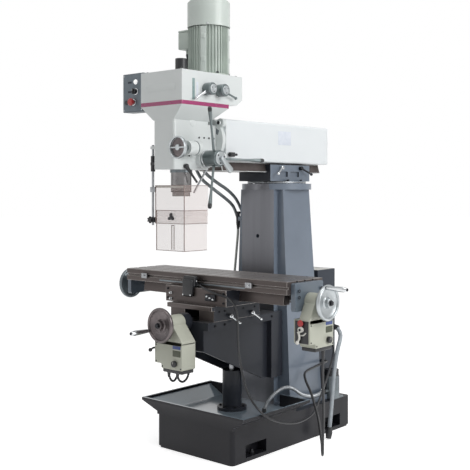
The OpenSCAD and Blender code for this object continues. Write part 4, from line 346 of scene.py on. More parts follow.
def turned(profile, at, axis, turns=48, cut=0.0):
    """A profile of (radius, along) turned about the axis: at + radius * (cos * side + sin * up) + along * axis."""
    rows = eased(profile, cut) if np.any(np.asarray(cut) > 0) else np.asarray(profile, float)
    side, up, axis = basis(axis)
    angle = np.linspace(0, 2 * np.pi, turns, endpoint=False)
    ring = np.cos(angle)[:, None] * side + np.sin(angle)[:, None] * up
    return np.asarray(at, float) + rows[:, 0, None, None] * ring + rows[:, 1, None, None] * axis


def rod(r, a, b, cut=1.0, turns=32):
    """A round bar from a to b with eased ends."""
    a, b = np.asarray(a, float), np.asarray(b, float)
    long = np.linalg.norm(b - a)
    return turned([(0, 0), (r, 0), (r, long), (0, long)], a, b - a, turns, min(cut, r * 0.45))


def hoop(inner, outer, low, high, at, axis, turns=48, cut=0.0):
    """A ring between two radii and two heights, or a disc where the inner radius is 0."""
    return turned([(inner, low), (outer, low), (outer, high), (inner, high)], at, axis, turns, cut)


def circle(centre, r, angles, u=X, v=Y):
    """Points round a centre: centre + r * (cos * u + sin * v)."""
    return [np.asarray(centre, float) + r * (math.cos(a) * u + math.sin(a) * v) for a in angles]


def ball(r, at, turns=24):
    """A ball: radius r sin, height -r cos, with the angle going from pole to pole."""
    angle = np.linspace(0, np.pi, 13)
    return turned(np.column_stack([r * np.sin(angle), -r * np.cos(angle)]), at, Z, turns)


def slab(outline, low, high, origin, along, across, ease=1.5, steps=4):
    """An outline in the plane of along and across, drawn out square to it from low to high. Near both ends its
    points move in along their mean normal by ease * (1 - sin), while the height goes by ease * (1 - cos)."""
    p = np.asarray(outline, float)
    tangent = unit(np.roll(p, -1, 0) - np.roll(p, 1, 0))
    area = np.sum(p[:, 0] * np.roll(p[:, 1], -1) - np.roll(p[:, 0], -1) * p[:, 1])
    inward = np.column_stack([-tangent[:, 1], tangent[:, 0]]) * np.sign(area)
    angle = np.linspace(0, np.pi / 2, steps)
    inset = np.concatenate([ease * (1 - np.sin(angle)), ease * (1 - np.cos(angle))])
    height = np.concatenate([low + ease * (1 - np.cos(angle)), high - ease * (1 - np.sin(angle))])
    rows = p[None] + inward[None] * inset[:, None, None]
    out = np.cross(along, across)
    return (np.asarray(origin, float) + rows[..., 0, None] * np.asarray(along, float)
            + rows[..., 1, None] * np.asarray(across, float) + height[:, None, None] * out)


def box(low, high, ease=2.0, steps=4):
    """A box with round edges: centre + sign * (half - ease) + ease * direction, over longitude and latitude, with
    each quarter's ends doubled so that the flats lie between them."""
    low, high = np.asarray(low, float), np.asarray(high, float)
    half = (high - low) / 2
    ease = min(ease, half.min() * 0.98)
    quarter = np.linspace(0, np.pi / 2, steps)
    lon = np.concatenate([quarter + k * np.pi / 2 for k in range(4)])
    lat = np.concatenate([quarter - np.pi / 2, quarter])
    east, north = np.repeat([1, -1, -1, 1], steps)[None], np.repeat([1, 1, -1, -1], steps)[None]
    sign = np.stack(np.broadcast_arrays(east, north, np.repeat([-1, 1], steps)[:, None]), -1)
    way = np.stack([np.cos(lat)[:, None] * np.cos(lon), np.cos(lat)[:, None] * np.sin(lon),
                    np.broadcast_to(np.sin(lat)[:, None], (len(lat), len(lon)))], -1)
    return (low + high) / 2 + sign * (half - ease) + ease * way


def smooth(points, steps):
    """A Catmull-Rom curve: (2b + (c-a)u + (2a-5b+4c-d)u^2 + (3b-a-3c+d)u^3) / 2 on each span from b to c."""
    p = np.asarray(points, float)
    i = np.arange(len(p) - 1)
    a, b, c, d = (q[:, None] for q in (p[np.maximum(i - 1, 0)], p[:-1], p[1:], p[np.minimum(i + 2, len(p) - 1)]))
    u = (np.arange(steps) / steps)[None, :, None]
    spans = (2 * b + (c - a) * u + (2 * a - 5 * b + 4 * c - d) * u ** 2 + (3 * b - a - 3 * c + d) * u ** 3) / 2
    return np.vstack([spans.reshape(-1, 3), p[-1:]])


def evenly(path, spacing):
    """The path with its points a spacing apart, by linear steps along its length."""
    so_far = np.concatenate([[0], np.cumsum(np.linalg.norm(np.diff(path, axis=0), axis=1))])
    at = np.linspace(0, so_far[-1], max(2, int(round(so_far[-1] / spacing)) + 1))
    return np.column_stack([np.interp(at, so_far, path[:, k]) for k in range(3)]), at


def tube(path, radius, turns=16):
    """Rings square to the path: point + radius * (cos * side + sin * up), with side square to the heading and to
    the one direction that the path turns to least."""
    path = np.asarray(path, float)
    heading = unit(np.gradient(path, axis=0))
    least = np.linalg.svd(heading)[2][2]
    side = unit(np.cross(heading, least))
    up = np.cross(heading, side)
    angle = np.linspace(0, 2 * np.pi, turns, endpoint=False)[None, :, None]
    wide = np.broadcast_to(np.asarray(radius, float), len(path))[:, None, None]
    return path[:, None] + wide * (np.cos(angle) * side[:, None] + np.sin(angle) * up[:, None])


def moved(grid, origin, along, across, out):
    """Local points (x, y, z) laid out as origin + x * along + y * across + z * out."""
    return np.asarray(origin, float) + grid @ np.array([along, across, out], float)


def laid(forms, place):
    """Several (grid, look) laid out at one place."""
    return [(moved(grid, *place), look) for grid, look in forms]


# Pieces

# Faces of a drawn surface that meet at less than this are smooth; a solid's own edge sharper than that is rounded
SMOOTH, SHARP = math.radians(38), math.radians(28)


def finish_mesh(made, looks):
    """Joins the meeting points, points the faces outwards, and smooths all but the sharp edges."""
    work = bmesh.new()
    work.from_mesh(made)
    bmesh.ops.remove_doubles(work, verts=work.verts, dist=2e-6)
    bmesh.ops.recalc_face_normals(work, faces=work.faces)
    work.to_mesh(made)
    work.free()
    made.polygons.foreach_set("use_smooth", np.ones(len(made.polygons), bool))
    made.set_sharp_from_angle(angle=SMOOTH)
    for look in looks:
        made.materials.append(look)


def grid_mesh(name, parts, looks):
    """One mesh of several surfaces, each a grid or (grid, index of its look). The map's u goes round, v along."""
    points, corners, sizes, chosen, flat = [], [], [], [], []
    base = 0
    for part in parts:
        grid, look = part if isinstance(part, tuple) else (part, 0)
        m, n = grid.shape[:2]
        i, j = np.meshgrid(np.arange(m - 1), np.arange(n), indexing="ij")
        k = (j + 1) % n
        quads = np.stack([i * n + j, i * n + k, (i + 1) * n + k, (i + 1) * n + j], -1).reshape(-1)
        round_by, along_by = np.stack([j, j + 1, j + 1, j], -1) / n, np.stack([i, i, i + 1, i + 1], -1) / (m - 1)
        spread = np.stack([round_by, along_by], -1)
        ends = np.concatenate([np.arange(n)[::-1], np.arange(n) + (m - 1) * n])
        points.append(grid.reshape(-1, 3))
        corners.append(np.concatenate([quads, ends]) + base)
        flat.append(np.concatenate([spread.reshape(-1, 2), np.zeros((2 * n, 2))]))
        sizes.append(np.concatenate([np.full((m - 1) * n, 4), [n, n]]))
        chosen.append(np.full((m - 1) * n + 2, look))
        base += m * n
    corners, sizes = np.concatenate(corners), np.concatenate(sizes)
    made = bpy.data.meshes.new(name)
    made.vertices.add(base)
    made.vertices.foreach_set("co", (np.concatenate(points) * MM).astype(np.float32).reshape(-1))
    made.loops.add(len(corners))
    made.loops.foreach_set("vertex_index", corners.astype(np.int32))
    made.polygons.add(len(sizes))
    made.polygons.foreach_set("loop_start", np.concatenate([[0], np.cumsum(sizes)[:-1]]).astype(np.int32))
    made.polygons.foreach_set("material_index", np.concatenate(chosen).astype(np.int32))
    made.uv_layers.new(name="surface").data.foreach_set("uv", np.concatenate(flat).astype(np.float32).reshape(-1))
    made.update(calc_edges=True)
    finish_mesh(made, looks)
    return made


def show(name, made, body=None, stands_for=()):
    """Puts a mesh in the scene as a piece that rides on a body and stands for some of the solids."""
    piece = bpy.data.objects.new(name, made)
    bpy.context.scene.collection.objects.link(piece)
    if body:
        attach(piece, body)
    if stands_for:
        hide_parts(*stands_for)
    return piece


def part(name, body, parts, looks, slot, stands_for=()):
    """A piece made of surfaces."""
    return show(name, grid_mesh(name, parts, looks), body, stands_for)


def plain(look, slot):
    """A maker of pieces that have only that look."""
    def piece(name, body, forms, stands_for=()):
        return part(name, body, forms, [look], slot, stands_for)
    return piece


# Screws and nuts of blackened steel, black mouldings, rubber sleeves, and chromed levers and fittings
hardware = plain(DARK_STEEL, "steel")
moulding = plain(BLACK_PLASTIC, "black_plastic")
rubber = plain(BLACK_RUBBER, "black_rubber")
chrome = plain(BRIGHT_STEEL, "bright_steel")


def casting(name, body, node, looks, edge=3.0, choose=None):
    """A solid's own form with its sharp edges rounded: its faces are joined, and each sharp edge gets a bevel as
    wide as edge, or less where its faces or its neighbours are small. choose gives each face the number of its look
    from the faces' centres and normals, with True for 1, and the last look is the one on the rounded edges."""
    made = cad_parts[node].data.copy()
    made.name = name
    made.materials.clear()
    work = bmesh.new()
    work.from_mesh(made)
    bmesh.ops.remove_doubles(work, verts=work.verts, dist=2e-5)
    bmesh.ops.dissolve_limit(work, angle_limit=math.radians(0.7), verts=work.verts, edges=work.edges)
    work.normal_update()
    work.faces.ensure_lookup_table()
    if choose:
        middles = np.array([f.calc_center_median() for f in work.faces]) / MM
        ways = np.array([f.normal for f in work.faces])
        for face, look in zip(work.faces, choose(middles, ways)):
            face.material_index = int(look)
    weight = work.edges.layers.float.get("bevel_weight_edge") or work.edges.layers.float.new("bevel_weight_edge")
    sharp = {e for e in work.edges if len(e.link_faces) == 2 and e.calc_face_angle(0) > SHARP}
    for e in sharp:
        size = e.calc_length()
        room = min(f.calc_area() / max(size, 1e-6) for f in e.link_faces) * 0.3
        way = (e.verts[1].co - e.verts[0].co).normalized()
        for v in e.verts:
            for other in v.link_edges:
                if other is not e and other in sharp:
                    off = (other.verts[1].co - other.verts[0].co).normalized()
                    if abs(off.dot(way)) < 0.94:
                        room = min(room, other.calc_length() * 0.4)
        e[weight] = min(1.0, room / (edge * MM))
    work.to_mesh(made)
    work.free()
    made.polygons.foreach_set("use_smooth", np.ones(len(made.polygons), bool))
    for look in looks:
        made.materials.append(look)
    piece = show(name, made, body, [node])
    rounding = piece.modifiers.new("rounded edges", "BEVEL")
    rounding.limit_method = "WEIGHT"
    rounding.width = edge * MM
    rounding.segments = 2
    rounding.use_clamp_overlap = True
    # Where the last look is lighter than the faces, it paints a highlight along the rounded edge, partly wear
    rounding.material = len(looks) - 1 if len(looks) > 1 else -1
    flat = piece.modifiers.new("flat faces stay flat", "WEIGHTED_NORMAL")
    flat.weight = 50
    return piece


def bolt(at, axis, r=7.0, h=8.0):
    """A socket screw's head with its recess."""
    return turned([(0, h * 0.35), (r * 0.45, h * 0.35), (r * 0.52, h), (r * 0.86, h), (r, h * 0.86), (r, 0),
                   (0, 0)], at, axis, 20)


def hexagon(r):
    """Six corners of a nut."""
    angle = np.arange(6) * np.pi / 3
    return np.column_stack([r * np.cos(angle), r * np.sin(angle)])


def nut(at, axis, r, h):
    """A hexagon nut with eased corners."""
    side, up, axis = basis(axis)
    return slab(eased(hexagon(r), r * 0.12, 3, True), 0, h, at, side, up, r * 0.1)


def lobed(r, depth, lobes, points):
    """Outline of a knob: the radius is r + depth * cos(lobes * turn), over one turn."""
    turn = np.linspace(0, 2 * np.pi, points, endpoint=False)
    wide = r + depth * np.cos(lobes * turn)
    return np.column_stack([wide * np.cos(turn), wide * np.sin(turn)])


# Cords, along the solids' own routes

PUMP_HOSE = [(140, 390, 190), (110, 390, 190), (0, 392, 188), (-150, 394, 188), (-225, 375, 196), (-250, 300, 240),
             (-250, 200, 330), (-246, 110, 480), (-234, 60, 660), (-212, 44, 830), (-196, 44, 980),
             (-184, 44, 1090), (-182, 44, 1140), (-182, 44, 1152)]
TRAY_HOSE = [(235, -226, 204), (235, -226, 214), (238, -205, 252), (242, -150, 290), (248, -80, 310),
             (254, -15, 296), (256, 60, 252), (252, 150, 226), (238, 230, 218), (218, 290, 216), (218, 318, 216)]
SUPPLY_LEAD = [(195, 440, 560), (215, 440, 560), (258, 420, 520), (296, 330, 440), (322, 260, 310), (338, 220, 180),
               (342, 196, 70), (342, 186, 14)]
TABLE_FEED_LEAD = [(622, -250, 579), (622, -250, 560), (612, -240, 450), (575, -180, 250), (544, -144, 112),
                   (537, -135, 62), (530, -126, 33), (514, -107, 19), (498, -88, 33), (490, -79, 62),
                   (474, -68, 112), (440, -45, 190), (380, -20, 290), (330, 0, 345), (280, 60, 372),
                   (246, 180, 376), (228, 290, 380), (212, 345, 380), (193, 345, 380)]
SWITCH_LEAD = [(0, -474, 860), (16, -474, 860), (70, -497, 852), (150, -503, 832), (225, -492, 815),
               (246, -460, 770), (244, -440, 700), (242, -432, 570), (254, -418, 447), (300, -420, 339),
               (368, -404, 262), (382, -311, 206), (384, -191, 172), (382, -92, 166), (380, 2, 188), (362, 90, 256),
               (330, 200, 350), (280, 320, 440), (215, 400, 470), (193, 400, 470)]
KNEE_FEED_LEADS = [
    [(-20, -650, 453), (-20, -650, 436), (-26, -632, 406), (-40, -596, 392), (-54, -560, 412), (-60, -543, 470),
     (-60, -543, 514), (-60, -543, 528)],
    [(40, -650, 453), (40, -650, 438), (38, -636, 412), (30, -600, 398), (22, -562, 416), (20, -543, 470),
     (20, -543, 514), (20, -543, 528)]]
POWER_CONDUITS = [[(-133, -352, 1748), (-133, -352, 1720), (-140, -345, 1620), (-146, -320, 1520),
                   (-154, -260, 1440), (-170, -150, 1385), (-190, -40, 1344), (-202, 50, 1290), (-200, 104, 1210),
                   (-180, 122, 1150), (-180, 122, 1120)],
                  [(-133, -380, 1748), (-133, -380, 1720), (-144, -372, 1610), (-152, -345, 1500),
                   (-160, -285, 1410), (-178, -170, 1350), (-200, -60, 1304), (-212, 36, 1250), (-208, 76, 1170),
                   (-184, 84, 1110), (-184, 84, 1080)]]
MOTOR_LEAD = [(-137, -399, 2048), (-137, -399, 2030), (-134, -402, 1990), (-122, -410, 1946), (-122, -410, 1924)]
# Steps of the smooth line from each point of a route to the next
STEPS = 3


def cord_piece(name, line, wide, look, slot, rib=0.0, pitch=8.0, body=None, across=None, **facts):
    """A cord's stretch along a smooth line: its ring radius is half its width, less rib * (1 - cos) / 2 along the
    length where it is corrugated. It rides on a body, or, given two bodies and two points, stays fixed where it is
    drawn."""
    fine, at = evenly(line, pitch / 5 if rib else max(3.0, wide * 0.4))
    radius = wide / 2 - rib * (1 - np.cos(2 * np.pi * at / pitch)) / 2
    made = grid_mesh(name, [tube(fine, radius, 14)], [look])
    piece = show(name, made, body)
    if across:
        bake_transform(piece)
    return piece


def relief(at, axis, wide, long, base):
    """A cord's strain relief: a nut at the housing and a sleeve that tapers to the cord with three grooves."""
    r = wide / 2 + 0.4
    rows = [(0, 0), (base, 0), (base, long * 0.25), (base * 0.86, long * 0.3)]
    for k in range(3):
        z = long * (0.4 + 0.18 * k)
        fat = r + (base - r) * (0.6 - 0.2 * k)
        rows += [(fat, z), (fat, z + long * 0.09), (fat * 0.93, z + long * 0.11)]
    return turned(rows + [(r, long), (0, long)], at, axis, 24, 0.6)


def cords():
    """Hoses, leads and conduits, each with its relief sleeves."""
    line = smooth(PUMP_HOSE, STEPS)
    hose = cord_piece("coolant_hose", line, 14, HOSE_VINYL, "grey_rubber", body="frame", far_end="object",
                      stiffness="medium", lay="loose")
    rubber("coolant_hose_clips", "frame", [relief(line[-1], -Z, 14, 30, 10), relief(line[0], -X, 14, 26, 10)])
    line = smooth(TRAY_HOSE, STEPS)
    cord_piece("tray_drain_hose", line, 20, CORRUGATED, "grey_rubber", rib=2.6, pitch=7.0, body="frame",
               far_end="object", stiffness="medium", lay="loose")
    rubber("tray_hose_collars", "frame", [relief(line[0] - Z * 2, Z, 20, 26, 13), relief(line[-1], -Y, 20, 26, 13)])
    line = smooth(SUPPLY_LEAD, STEPS)
    foot = line[-1]
    down = unit(line[-1] - line[-2])
    shell = turned([(0, -52), (13.4, -52), (14.5, -40), (17, -34), (17, -6), (15, 0), (15, 8), (0, 8)], foot, down,
                   32, 1.5)
    collar = turned([(17.4, -30), (18.6, -27), (18.6, -15), (17.4, -12)], foot, down, 32, 0.8)
    plug = rubber("supply_lead_coupling", "frame", [shell, collar])
    cord_piece("supply_lead", line, 24, GREY_SHEATH, "grey_rubber", rib=1.6, pitch=6.0, body="frame",
               far_end="connector", stiffness="stiff", lay="hanging", with_pieces=[plug])
    moulding("cabinet_glands", "frame",
             [relief((195, 440, 560), X, 24, 34, 17), relief((193, 345, 380), X, 13, 26, 10),
              relief((193, 400, 470), X, 11, 26, 9)])
    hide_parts("base_cords")

    line = smooth(TABLE_FEED_LEAD, STEPS)
    # the points on the line where the saddle's stretch and the knee's begin
    a, b = 3 * STEPS - 1, 3 * STEPS + 2
    spans = [("table", "saddle", line[:a + 1], line[1], line[a]),
             ("saddle", "knee", line[a:b + 1], line[a], line[b]),
             ("knee", "frame", line[b:], line[b], line[5 * STEPS])]
    made = [cord_piece(f"table_feed_lead_{k + 1}", way, 13, CABLE_SHEATH, "black_rubber",
                       across=(one, two, start, end), far_end="object", stiffness="medium", lay="hanging")
            for k, (one, two, way, start, end) in enumerate(spans)]
    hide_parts("x_feed_cable")
    moulding("table_feed_lead_gland", "table", [relief((622, -250, 580), -Z, 13, 34, 10.5)])

    line = smooth(SWITCH_LEAD, STEPS)
    cut = 8 * STEPS
    made = [cord_piece("switch_lead_1", line[:cut + 1], 11, CABLE_SHEATH, "black_rubber",
                       across=("saddle", "knee", line[6 * STEPS], line[cut]), far_end="object", lay="loose"),
            cord_piece("switch_lead_2", line[cut:], 11, CABLE_SHEATH, "black_rubber",
                       across=("knee", "frame", line[cut], line[11 * STEPS]), far_end="object", lay="loose")]
    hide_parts("switch_cable")
    moulding("switch_lead_gland", "saddle", [relief((0, -474, 860), X, 11, 26, 8.5)])

    made = [cord_piece(f"knee_feed_lead_{k + 1}", smooth(p, STEPS), 11, CABLE_SHEATH, "black_rubber", body="knee",
                       far_end="object", stiffness="medium", lay="hanging") for k, p in enumerate(KNEE_FEED_LEADS)]
    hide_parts("y_feed_cables")
    ends = [relief(p[0], -Z, 11, 30, 9.5) for p in KNEE_FEED_LEADS]
    ends += [relief(p[-1], -Z, 11, 24, 9) for p in KNEE_FEED_LEADS]
    moulding("knee_feed_glands", "knee", ends)

    for k, route in enumerate(POWER_CONDUITS):
        line = smooth(route, STEPS)
        a, b = 2 * STEPS + 1, 4 * STEPS + 1
        spans = [("head", "ram", line[:a + 1], line[1], line[a]),
                 ("ram", "turret", line[a:b + 1], line[a], line[b]),
                 ("turret", "frame", line[b:], line[b], line[9 * STEPS])]
        for j, (one, two, way, start, end) in enumerate(spans):
            cord_piece(f"power_conduit_{k + 1}_{j + 1}", way, 18, CONDUIT, "black_rubber", rib=1.6, pitch=5.0,
                       across=(one, two, start, end), far_end="object", stiffness="stiff", lay="loose")
    hardware("housing_conduit_glands", "head", [relief(p[0], -Z, 18, 30, 12.5) for p in POWER_CONDUITS])
    hardware("column_conduit_glands", "frame", [relief(p[-1], Z, 18, 30, 13) for p in POWER_CONDUITS])
    line = smooth(MOTOR_LEAD, STEPS)
    lead = cord_piece("motor_lead", line, 16, CABLE_SHEATH, "black_rubber", body="head", far_end="object",
                      stiffness="medium", lay="hanging")
    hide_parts("power_conduits")
    hardware("motor_lead_glands", "head",
             [relief(MOTOR_LEAD[0], -Z, 16, 26, 12), relief(MOTOR_LEAD[-1], Z, 16, 24, 11)])


cords()

# Base, column and cabinet


def facing(ways, axis, sign, close=0.9):
    """Which faces look that way along an axis."""
    return sign * ways[:, axis] > close


def base():
    """Cast base with its tray, whose upward faces inside take a lighter enamel as painted light, and with the
    drain's strainer and anchor nuts.
    """
    # Upward faces inside the tray take the lighter enamel: painted light on the tray floor
    def lit_tray_floor_faces(mid, way):
        inner = (mid[:, 2] > 186.5) & (mid[:, 1] < 3) & ((way[:, 2] > 0.25) | (np.abs(mid[:, 0]) < 300))
        return inner & (way[:, 2] > 0.1)

    casting("base_and_tray", "frame", "base_casting", [BASE_ENAMEL, TRAY_FLOOR_PAINTED_LIGHT, DARK_EDGE_WEAR_AND_HIGHLIGHT], 3.5,
            lit_tray_floor_faces)
    drain = (150, -430, 0)
    # Each hole is a dark disc standing proud of the plate: painted shade where the hole would open
    hole_shade_discs = [hoop(0, 2.6, 186, 187.4, at, Z, 10) for r in (9, 18) for at in circle(drain, r, SIXTHS)]
    plate = hoop(0, 29, 184.5, 186.6, drain, Z, 40, 0.8)
    part("drain_strainer", "frame", [(plate, 0)] + [(h, 1) for h in hole_shade_discs], [CAST_ALUMINIUM, DARK_STEEL], "steel")
    bolts = []
    for x, y in ((-235, -324), (-235, 324), (235, -324), (235, 324)):
        bolts += [hoop(0, 15, 0, 2.5, (x, y, 22), Z, 28, 0.6), nut((x, y, 24.5), Z, 13, 12),
                  rod(7.5, (x, y, 34), (x, y, 46))]
    hardware("anchor_nuts", "frame", bolts)


def column():
    """Tapered column: ground ways in front and enamel elsewhere; the lifting post and the foot bolts of both."""
    casting("column", "frame", "column_casting", [COLUMN_ENAMEL, WAY_IRON, BLUE_EDGE_WEAR_AND_HIGHLIGHT], 4.0,
            lambda mid, way: facing(way, 1, -1) & (mid[:, 1] < 3) & (mid[:, 2] > 185))
    casting("lifting_post", "frame", "elevating_post", [KNEE_ENAMEL, STEEL], 2.0)
    bolts = [bolt((x, y, 197.9), Z, 9, 8) for x in (-158, 158) for y in (60, 300)]
    bolts += [bolt(at, Z, 7, 7) for at in circle((0, LIFT_Y, 202.9), 62, SIXTHS + 0.5)]
    hardware("foot_bolts", "frame", bolts)
    # the bare plate on the column's side
    part("column_plate", "frame", [box((149.6, 120, 1180), (151.2, 200, 1230), 0.6)], [PANEL_PAINT], "panel_paint")


def pump():
    """Coolant pump behind the column with its tap, whose knob has nine flutes."""
    # aluminium below, the black motor above it, and the tap's own body of dark steel high up
    casting("coolant_pump_body", "frame", "coolant_pump", [DARK_ALUMINIUM, BLACK_PLASTIC, DARK_STEEL],
            1.5, lambda mid, way: np.where(mid[:, 2] > 600, 2, mid[:, 2] > 296))
    knob = slab(lobed(15, 1.4, 9, 72), 0, 13, (-182, 44, 1207.5), X, Y, 2.5)
    moulding("tap_knob", "frame", [knob])


def cabinet():
    """Electrical cabinet on the column's back with its door, louvres and latch."""
    def relays(mid, way):
        return (mid[:, 1] > 345) & (np.abs(mid[:, 0]) < 140) & (mid[:, 1] < 430) & (mid[:, 2] > 262)

    casting("cabinet_box", "frame", "electrical_cabinet", [CABINET_ENAMEL, PALE_PLASTIC, DARK_EDGE_WEAR_AND_HIGHLIGHT],
            1.5, relays)
    casting("cabinet_door_sheet", "cabinet_door", "cabinet_door", [CABINET_ENAMEL, DARK_EDGE_WEAR_AND_HIGHLIGHT], 1.5)
    slat = eased([(-60, 0), (60, 0), (60, 6), (-60, 6)], 3, 4, True)
    louvres = [slab(slat, 0, 2.6, (0, 483.8, z), -X, Z, 1.2) for z in range(300, 380, 16)]
    part("door_louvres", "cabinet_door", louvres, [CABINET_ENAMEL], "cabinet_paint")
    moulding("door_latch", "cabinet_door",
             [turned([(0, 0), (15, 0), (15, 3), (11, 4), (0, 4)], (121, 485.6, 552.5), Y, 36, 1),
              box((118.5, 486, 540), (123.5, 490.8, 565), 1.5)])


# Knee, saddle and table


def knee():
    """Knee with ground ways on top and behind, and its screws."""
    casting("knee", "knee", "knee_casting", [KNEE_ENAMEL, WAY_IRON, DARK_EDGE_WEAR_AND_HIGHLIGHT], 4.0,
            lambda mid, way: (facing(way, 2, 1) & (mid[:, 2] > 688)) | ((mid[:, 1] > -2) & facing(way, 1, 1)))
    quarters = np.arange(4) * math.pi / 2
    bolts = [bolt(at, -Y, 4.5, 0.4) for at in circle((0, -594.8, CROSS_SCREW_Z), 33, quarters + 0.8, X, Z)]
    hardware("knee_screws", "knee", bolts + [bolt((150, y, 671), X, 6, 5) for y in (-500, -430, -60)])


def saddle():
    """Saddle: milled iron in front, enamel at its sides; oilers on their block, gib screws and the front wiper."""
    casting("saddle", "saddle", "saddle_casting", [KNEE_ENAMEL, TABLE_SIDE, IRON_RIM_WEAR_AND_HIGHLIGHT], 2.0,
            lambda mid, way: np.abs(way[:, 0]) <= 0.6)
    oilers = []
    for x, z in ((92, 812), (112, 806), (132, 800), (-170, 812), (-170, 782)):
        oilers += [turned([(0, 0), (7, 0), (7, 4), (5, 5), (5, 9), (6, 10), (6, 13), (3.5, 16), (0, 16.5)],
                          (x, -488.2, z), -Y, 20, 0.8)]
    chrome("saddle_oilers", "saddle", oilers)
    hardware("oiler_block", "saddle", [box((78, -500, 790), (146, -487.6, 824), 3.0)])
    screws = [bolt((s * 151.2, y, 738), s * X, 5, 3.5) for s in (-1, 1) for y in (-470, -430, -350, -290, -200)]
    screws += [bolt((x, -488.2, z), -Y, 5.5, 5) for x in (-195, 195) for z in (785, 832)]
    hardware("saddle_screws", "saddle", screws)
    part("saddle_wipers", "saddle", [box((-150, -537.5, 746), (150, -531.5, 766), 1.5)], [TABLE_SIDE],
         "ground_iron")


def switch():
    """Limit switch: a black moulding in two steps with round edges, a pin at each side and two lid screws."""
    parts = [(box((-81, -494.6, 850.4), (1, -467, 905), 7), 0), (box((-75, -508.6, 802), (-5, -486, 890), 9), 0),
             (rod(5.2, (-90, -481, 881), (-79, -481, 881)), 1), (rod(5.2, (-1, -481, 881), (8.5, -481, 881)), 1),
             (bolt((-66, -508.4, 812), -Y, 4, 1.5), 1), (bolt((-14, -508.4, 812), -Y, 4, 1.5), 1)]
    part("limit_switch_case", "saddle", parts, [BLACK_PLASTIC, BRIGHT_STEEL], "black_plastic", ["limit_switch"])


def lever(at, turn, out, long, fat, thin, knob):
    """A lever that leans outwards: a taper with a ball at its end, from a point, in the plane of Y and Z."""
    turn, lean = math.radians(turn), math.radians(out)
    way = np.array([math.sin(lean), -math.sin(turn) * math.cos(lean), math.cos(turn) * math.cos(lean)])
    end = np.asarray(at, float) + way * long
    rows = [(0, 0), (fat, 0), (fat, long * 0.1), (thin, long * 0.6), (thin, long - knob * 0.7), (0, long)]
    return [turned(rows, at, way, 28, 2.0), ball(knob, end)]


def saddle_locks():
    """Two chromed lock levers on the saddle's right side."""
    for name, y in (("saddle_lock_front", -400), ("saddle_lock_rear", -235)):
        arm = lever((163, y, 712), -130, 20, 62, 6, 4.6, 8)
        boss = turned([(0, 0), (11, 0), (11, 16), (9, 20), (6, 20.5), (6, 25), (4, 26), (0, 26)],
                      (151.4, y, 712), X, 32, 1)
        chrome(name + "_lever", name, arm + [boss], [name])


def table():
    """Work table: ground top, milled sides, stops, end brackets and their screws."""
    casting("work_table", "table", "table_casting", [TABLE_SIDE, GROUND_IRON, IRON_RIM_WEAR_AND_HIGHLIGHT], 1.6,
            lambda mid, way: facing(way, 2, 1))
    casting("table_brackets", "table", "table_end_brackets", [BRACKET_ENAMEL, BLUE_EDGE_WEAR_AND_HIGHLIGHT], 2.5)
    casting("stop_dogs", "table", "table_stop_dogs", [STEEL, BRIGHT_STEEL], 1.2)
    bolts = [bolt((s * 593.5, SCREW_Y + b * 88, z), s * X, 8.2, 1.2)
             for s in (-1, 1) for b in (-1, 1) for z in (838, 868)]
    hardware("bracket_screws", "table", bolts)
    # travel scale in the front edge: a satin strip, bare of figures
    part("travel_scale", "table", [box((-300, -450.9, 860), (300, -449.4, 868), 0.5)], [DARK_ALUMINIUM], "steel")


# Wheels and feed units


def wheel_parts(place, hub_l=36.0):
    """A dished handwheel turned from its section: hub, thin web, and a rim that is an oval ring, 85 in radius."""
    angle = np.linspace(-math.pi * 0.93, math.pi * 0.93, 25)
    rim = np.column_stack([77 + 8 * np.cos(angle), 18.5 + 11.5 * np.sin(angle)])
    back = [(0, 0.4), (21.6, 0.4), (22, 2), (28, 6.5), (44, 9.5), (62, 12)]
    front = [(62, 16.5), (44, 14), (30, 13), (24, 18), (22, hub_l - 2), (20, hub_l - 0.4), (0, hub_l - 0.4)]
    rows = np.vstack([back, rim, front])
    body = turned(rows, (0, 0, 0), Z, 96)
    washer = hoop(0, 14, hub_l - 0.5, hub_l + 1.8, (0, 0, 0), Z, 32, 0.5)
    top = nut((0, 0, hub_l + 1.6), Z, 11.5, 9)
    return laid([(body, 0), (washer, 1), (top, 1)], place)


def grip(name, body, at, out, look, slot):
    """A waisted grip: slim at the wheel, fullest at two thirds, closing to a rounded end."""
    rows = eased([(0, 0), (8.4, 0), (9.2, 10), (11.2, 40), (13, 66), (12.9, 92), (11, 108), (7, 114.6), (0, 114.6)],
                 5, 5)
    part(name, body, [turned(rows, at + out * GRIP_OUT, out, 36)], [look], slot, [body])


def pin_parts(at, out):
    """The grip's pin, its shoulder at the rim and its head."""
    return [rod(5, at + out * 14, at + out * 145, 0.8, 20), hoop(0, 8, 0, 4, at + out * 26.5, out, 24, 0.8),
            turned([(0, 0), (7.8, 0), (7, 3), (0, 3.2)], at + out * 145, out, 24, 0.8)]


# The three wheels' places, each with its sideways, upward and outward directions
RIGHT = ((674, SCREW_Y, TABLE_SCREW_Z), Y, Z, X)
LEFT = ((-664, SCREW_Y, TABLE_SCREW_Z), -Y, Z, -X)
FRONT = ((0, -708, CROSS_SCREW_Z), X, Z, -Y)
# How far out of a wheel's back face its grip begins
GRIP_OUT = 30.3


def spindle_dial(name, body, at, axis, long):
    """Graduated ring behind a handwheel."""
    part(name, body, [hoop(14.2, 34, 0, long, at, axis, 72, 0.8)], [DIAL], "bright_steel")


